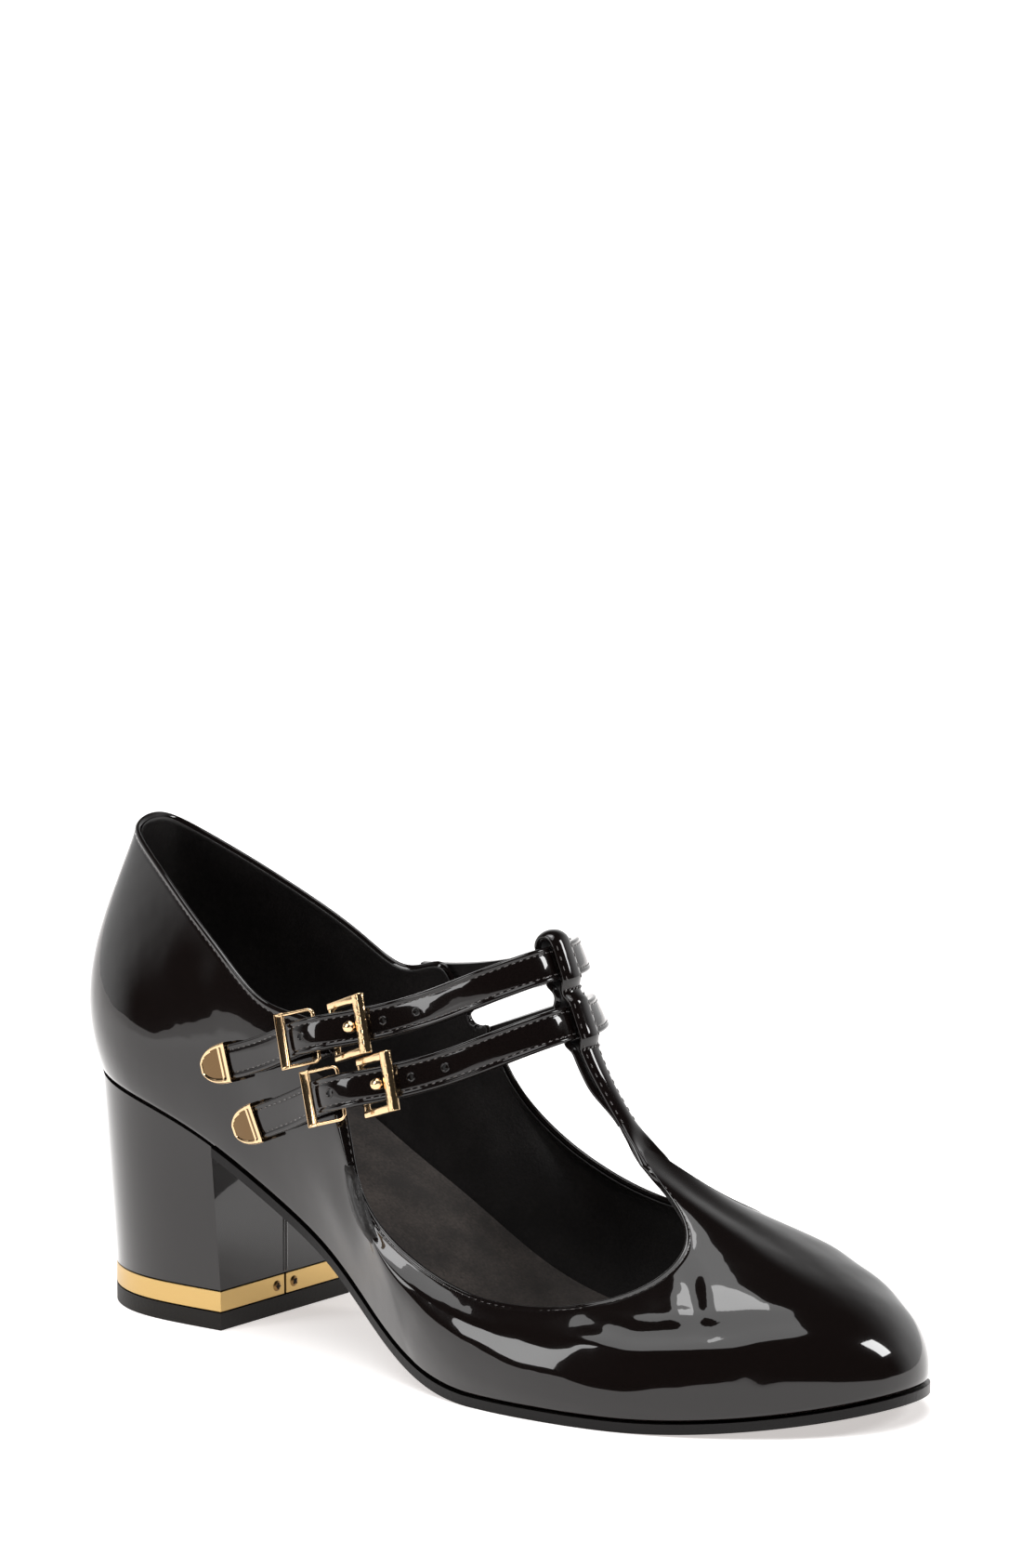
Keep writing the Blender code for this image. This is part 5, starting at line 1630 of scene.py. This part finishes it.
    def build_prong(self) -> None:
        """Make the prong with its faceted head, and a flat disc painted dark as the shadow of the slot that it
        comes up through.
        """
        path = self.path
        under = -STRAP_THICKNESS / 2 - GAP - PRONG_RADIUS
        start = path.hinge_run + HINGE_RADIUS + GAP + TAB_THICKNESS + GAP + PRONG_RADIUS
        hole = path.hole_run
        end = path.far_run - FRAME_END_WIDTH / 2 - GAP - PRONG_RADIUS
        route = np.array([(start, under), ((start + hole) / 2, under), (hole - PRONG_RADIUS / 2, under / 2),
                          (hole, 0.0), (hole + PRONG_RADIUS / 2, -under / 2), ((hole + end) / 2, -under),
                          (end, -under)])
        marks = np.linspace(0, 6, 31)
        fine = np.stack([Curve(np.arange(7), route[:, axis])(marks) for axis in range(2)], -1)
        line = path.at(fine[:, 0], lift=path.lift(fine[:, 0]) + fine[:, 1])
        across = path.base(fine[:, 0])[2]
        ways = unit(np.gradient(line, axis=0))
        work = bmesh.new()
        add_sweep(work, line, across, np.cross(ways, across), (PRONG_RADIUS * 0.98,) * 2, 12)
        _, forward, side, out = path.base(hole)
        turn = axes_matrix(forward, side, out)
        head = Matrix.Translation(path.over(hole + 0.0006, 0.0, 0.00105)) @ turn
        bmesh.ops.create_icosphere(work, subdivisions=2, radius=1.0,
                                   matrix=head @ Matrix.Diagonal((*self.head_size, 1.0)))
        new_piece(f"prong_{self.name}_gold", work, [self.finishes.gold],
                  [f"prong_{self.name}"], sharp=14)
        # The slot is not cut: a flat near-black disc on the strap is its painted shadow
        work = bmesh.new()
        slot = Matrix.Translation(path.over(hole - 0.0002, 0.0, 0.0001)) @ turn
        bmesh.ops.create_circle(work, cap_ends=True, segments=24, radius=1.0,
                                matrix=slot @ Matrix.Diagonal((*self.slot_shadow_size, 1.0, 1.0)))
        new_piece(f"prong_{self.name}_slot", work, [self.finishes.hole], sharp=None)


def tilted(start: Array, end: Array, across: Array) -> tuple[Array, Array, Array, Array]:
    """Axes of a flat frame that runs from one point to another."""
    forward = unit(end - start)
    across = unit(across - forward * np.dot(across, forward))
    return start, forward, across, np.cross(forward, across)


# Studio


@dataclass(frozen=True)
class SoftBox:
    """A soft rectangular light: its place from the shoe's middle along the view, its size and power."""

    name: str
    right: float
    ahead: float
    up: float
    size: tuple[float, float]
    power: float

    def build(self, middle: Vector, ahead: Vector, right: Vector) -> None:
        """Make the light and aim it at the shoe's middle."""
        data = bpy.data.lights.new(self.name, "AREA")
        data.shape = "RECTANGLE"
        data.size, data.size_y = self.size
        data.energy = self.power
        light = bpy.data.objects.new(self.name, data)
        light.location = middle + right * self.right + ahead * self.ahead + Vector((0, 0, self.up))
        light.rotation_euler = (middle - light.location).to_track_quat("-Z", "Y").to_euler()
        bpy.context.scene.collection.objects.link(light)


@dataclass
class Studio:
    """Camera at the photograph's angle, pale floor and soft lights."""

    last: Last
    azimuth: float = 38.0
    pitch: float = 9.3
    focal_px: float = 6825.0
    picture: tuple[int, int] = (1100, 1687)
    target_px: tuple[float, float] = (307.5, 1411.0)
    target_x: float = 0.0495
    distance: float = 1.5
    floor_size: float = 30.0
    floor_glow: float = 0.56
    fill: float = 0.03
    cove: float = 0.85
    cove_turn: tuple[float, float] = (-0.10, 0.45)
    cove_height: tuple[float, float] = (0.80, 0.25)
    sun_power: float = 1.8
    sun_angle: float = 58.0
    middle: tuple[float, float, float] = (0.08, 0.0, 0.05)
    boxes: tuple[SoftBox, ...] = (
        SoftBox("top_box", 0.0, -0.1, 1.1, (0.5, 0.35), 3.0),
        SoftBox("left_box", -1.0, -0.5, 0.45, (0.35, 0.6), 4.0),
        SoftBox("right_box", 1.0, -0.1, 0.6, (0.2, 0.3), 3.0),
    )

    def build(self) -> None:
        """Make the camera, floor and lights."""
        turn, tip = math.radians(self.azimuth), math.radians(self.pitch)
        ahead = Vector((-math.sin(turn) * math.cos(tip), math.cos(turn) * math.cos(tip), -math.sin(tip)))
        right = Vector((math.cos(turn), math.sin(turn), 0.0))
        above = right.cross(ahead)
        wide, high = self.picture
        scale = self.distance / self.focal_px
        place = Vector((self.target_x - self.last.origin_x, 0.0, 0.0)) - ahead * self.distance
        place -= right * (self.target_px[0] - wide / 2) * scale
        place += above * (self.target_px[1] - high / 2) * scale
        data = bpy.data.cameras.new("photograph")
        data.lens = self.focal_px / high * 36.0
        data.sensor_width = 36.0
        data.sensor_fit = "AUTO"
        data.clip_start = 0.01
        camera = bpy.data.objects.new("photograph", data)
        camera.matrix_world = Matrix.Translation(place) @ Matrix((right, above, -ahead)).transposed().to_4x4()
        bpy.context.scene.collection.objects.link(camera)
        bpy.context.scene.camera = camera
        self.build_floor()
        self.build_lights(ahead, right)

    def build_floor(self) -> None:
        """Make the pale floor."""
        work = bmesh.new()
        bmesh.ops.create_grid(work, x_segments=1, y_segments=1, size=self.floor_size)
        mesh = bpy.data.meshes.new("floor")
        work.to_mesh(mesh)
        work.free()
        floor = bpy.data.objects.new("floor", mesh)
        material = bpy.data.materials.new("matt_white_paper")
        material.use_nodes = True
        shader = material.node_tree.nodes["Principled BSDF"]
        shader.inputs["Base Color"].default_value = linear("#f7f7f7")
        shader.inputs["Roughness"].default_value = 0.9
        shader.inputs["Specular IOR Level"].default_value = 0.1
        shader.inputs["Emission Color"].default_value = linear("#fff9f6")
        shader.inputs["Emission Strength"].default_value = self.floor_glow
        mesh.materials.append(material)
        bpy.context.scene.collection.objects.link(floor)

    def smooth_range(self, tree: Tree, value: Socket,
                     span: tuple[float, float]) -> Socket:
        """Ease a value from 0 at a span's start to 1 at its end."""
        settings = {"interpolation_type": "SMOOTHSTEP", "From Min": span[0], "From Max": span[1]}
        return add_node(tree, "ShaderNodeMapRange", settings, {"Value": value}).outputs[0]

    def build_lights(self, ahead: Vector, right: Vector) -> None:
        """Make the world's white cove, which stands behind the shoe, then the sun and the soft boxes."""
        world = bpy.data.worlds.new("white_studio")
        bpy.context.scene.world = world
        world.use_nodes = True
        tree = world.node_tree
        backdrop = tree.nodes["Background"]
        backdrop.inputs["Color"].default_value = linear("#ffffff")
        flat = Vector((ahead.x, ahead.y, 0.0)).normalized()
        way = add_node(tree, "ShaderNodeTexCoord").outputs["Generated"]
        facing = add_node(tree, "ShaderNodeVectorMath", {"operation": "DOT_PRODUCT", 1: flat}, {0: way})
        height = add_node(tree, "ShaderNodeSeparateXYZ", {}, {0: way})
        behind = self.smooth_range(tree, facing.outputs["Value"], self.cove_turn)
        low = self.smooth_range(tree, height.outputs["Z"], self.cove_height)
        cove = add_node(tree, "ShaderNodeMath", {"operation": "MULTIPLY"}, {0: behind, 1: low})
        shares = {"operation": "MULTIPLY_ADD", 1: self.cove, 2: self.fill}
        strength = add_node(tree, "ShaderNodeMath", shares, {0: cove.outputs[0]})
        tree.links.new(strength.outputs[0], backdrop.inputs["Strength"])
        bpy.context.scene.view_settings.view_transform = "Standard"
        sun = bpy.data.lights.new("diffused_key", "SUN")
        sun.energy = self.sun_power
        sun.angle = math.radians(self.sun_angle)
        key = bpy.data.objects.new("diffused_key", sun)
        aim = Vector((0, 0, -1)) + flat * 0.25 + right * 0.12
        key.rotation_euler = aim.to_track_quat("-Z", "Y").to_euler()
        bpy.context.scene.collection.objects.link(key)
        for box in self.boxes:
            box.build(Vector(self.middle), flat, right)


def main() -> None:
    """Dress the shoe and set it in the studio."""
    logging.basicConfig(level=logging.INFO)
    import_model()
    finishes = Finishes()
    last = Last()
    bar = Bar(last)
    Studio(last).build()
    Upper(last, bar, finishes).build()
    Bottom(last, finishes).build()
    for level in Level:
        Strap(StrapPath(level, last, bar), finishes).build()


if __name__ == "__main__":
    main()
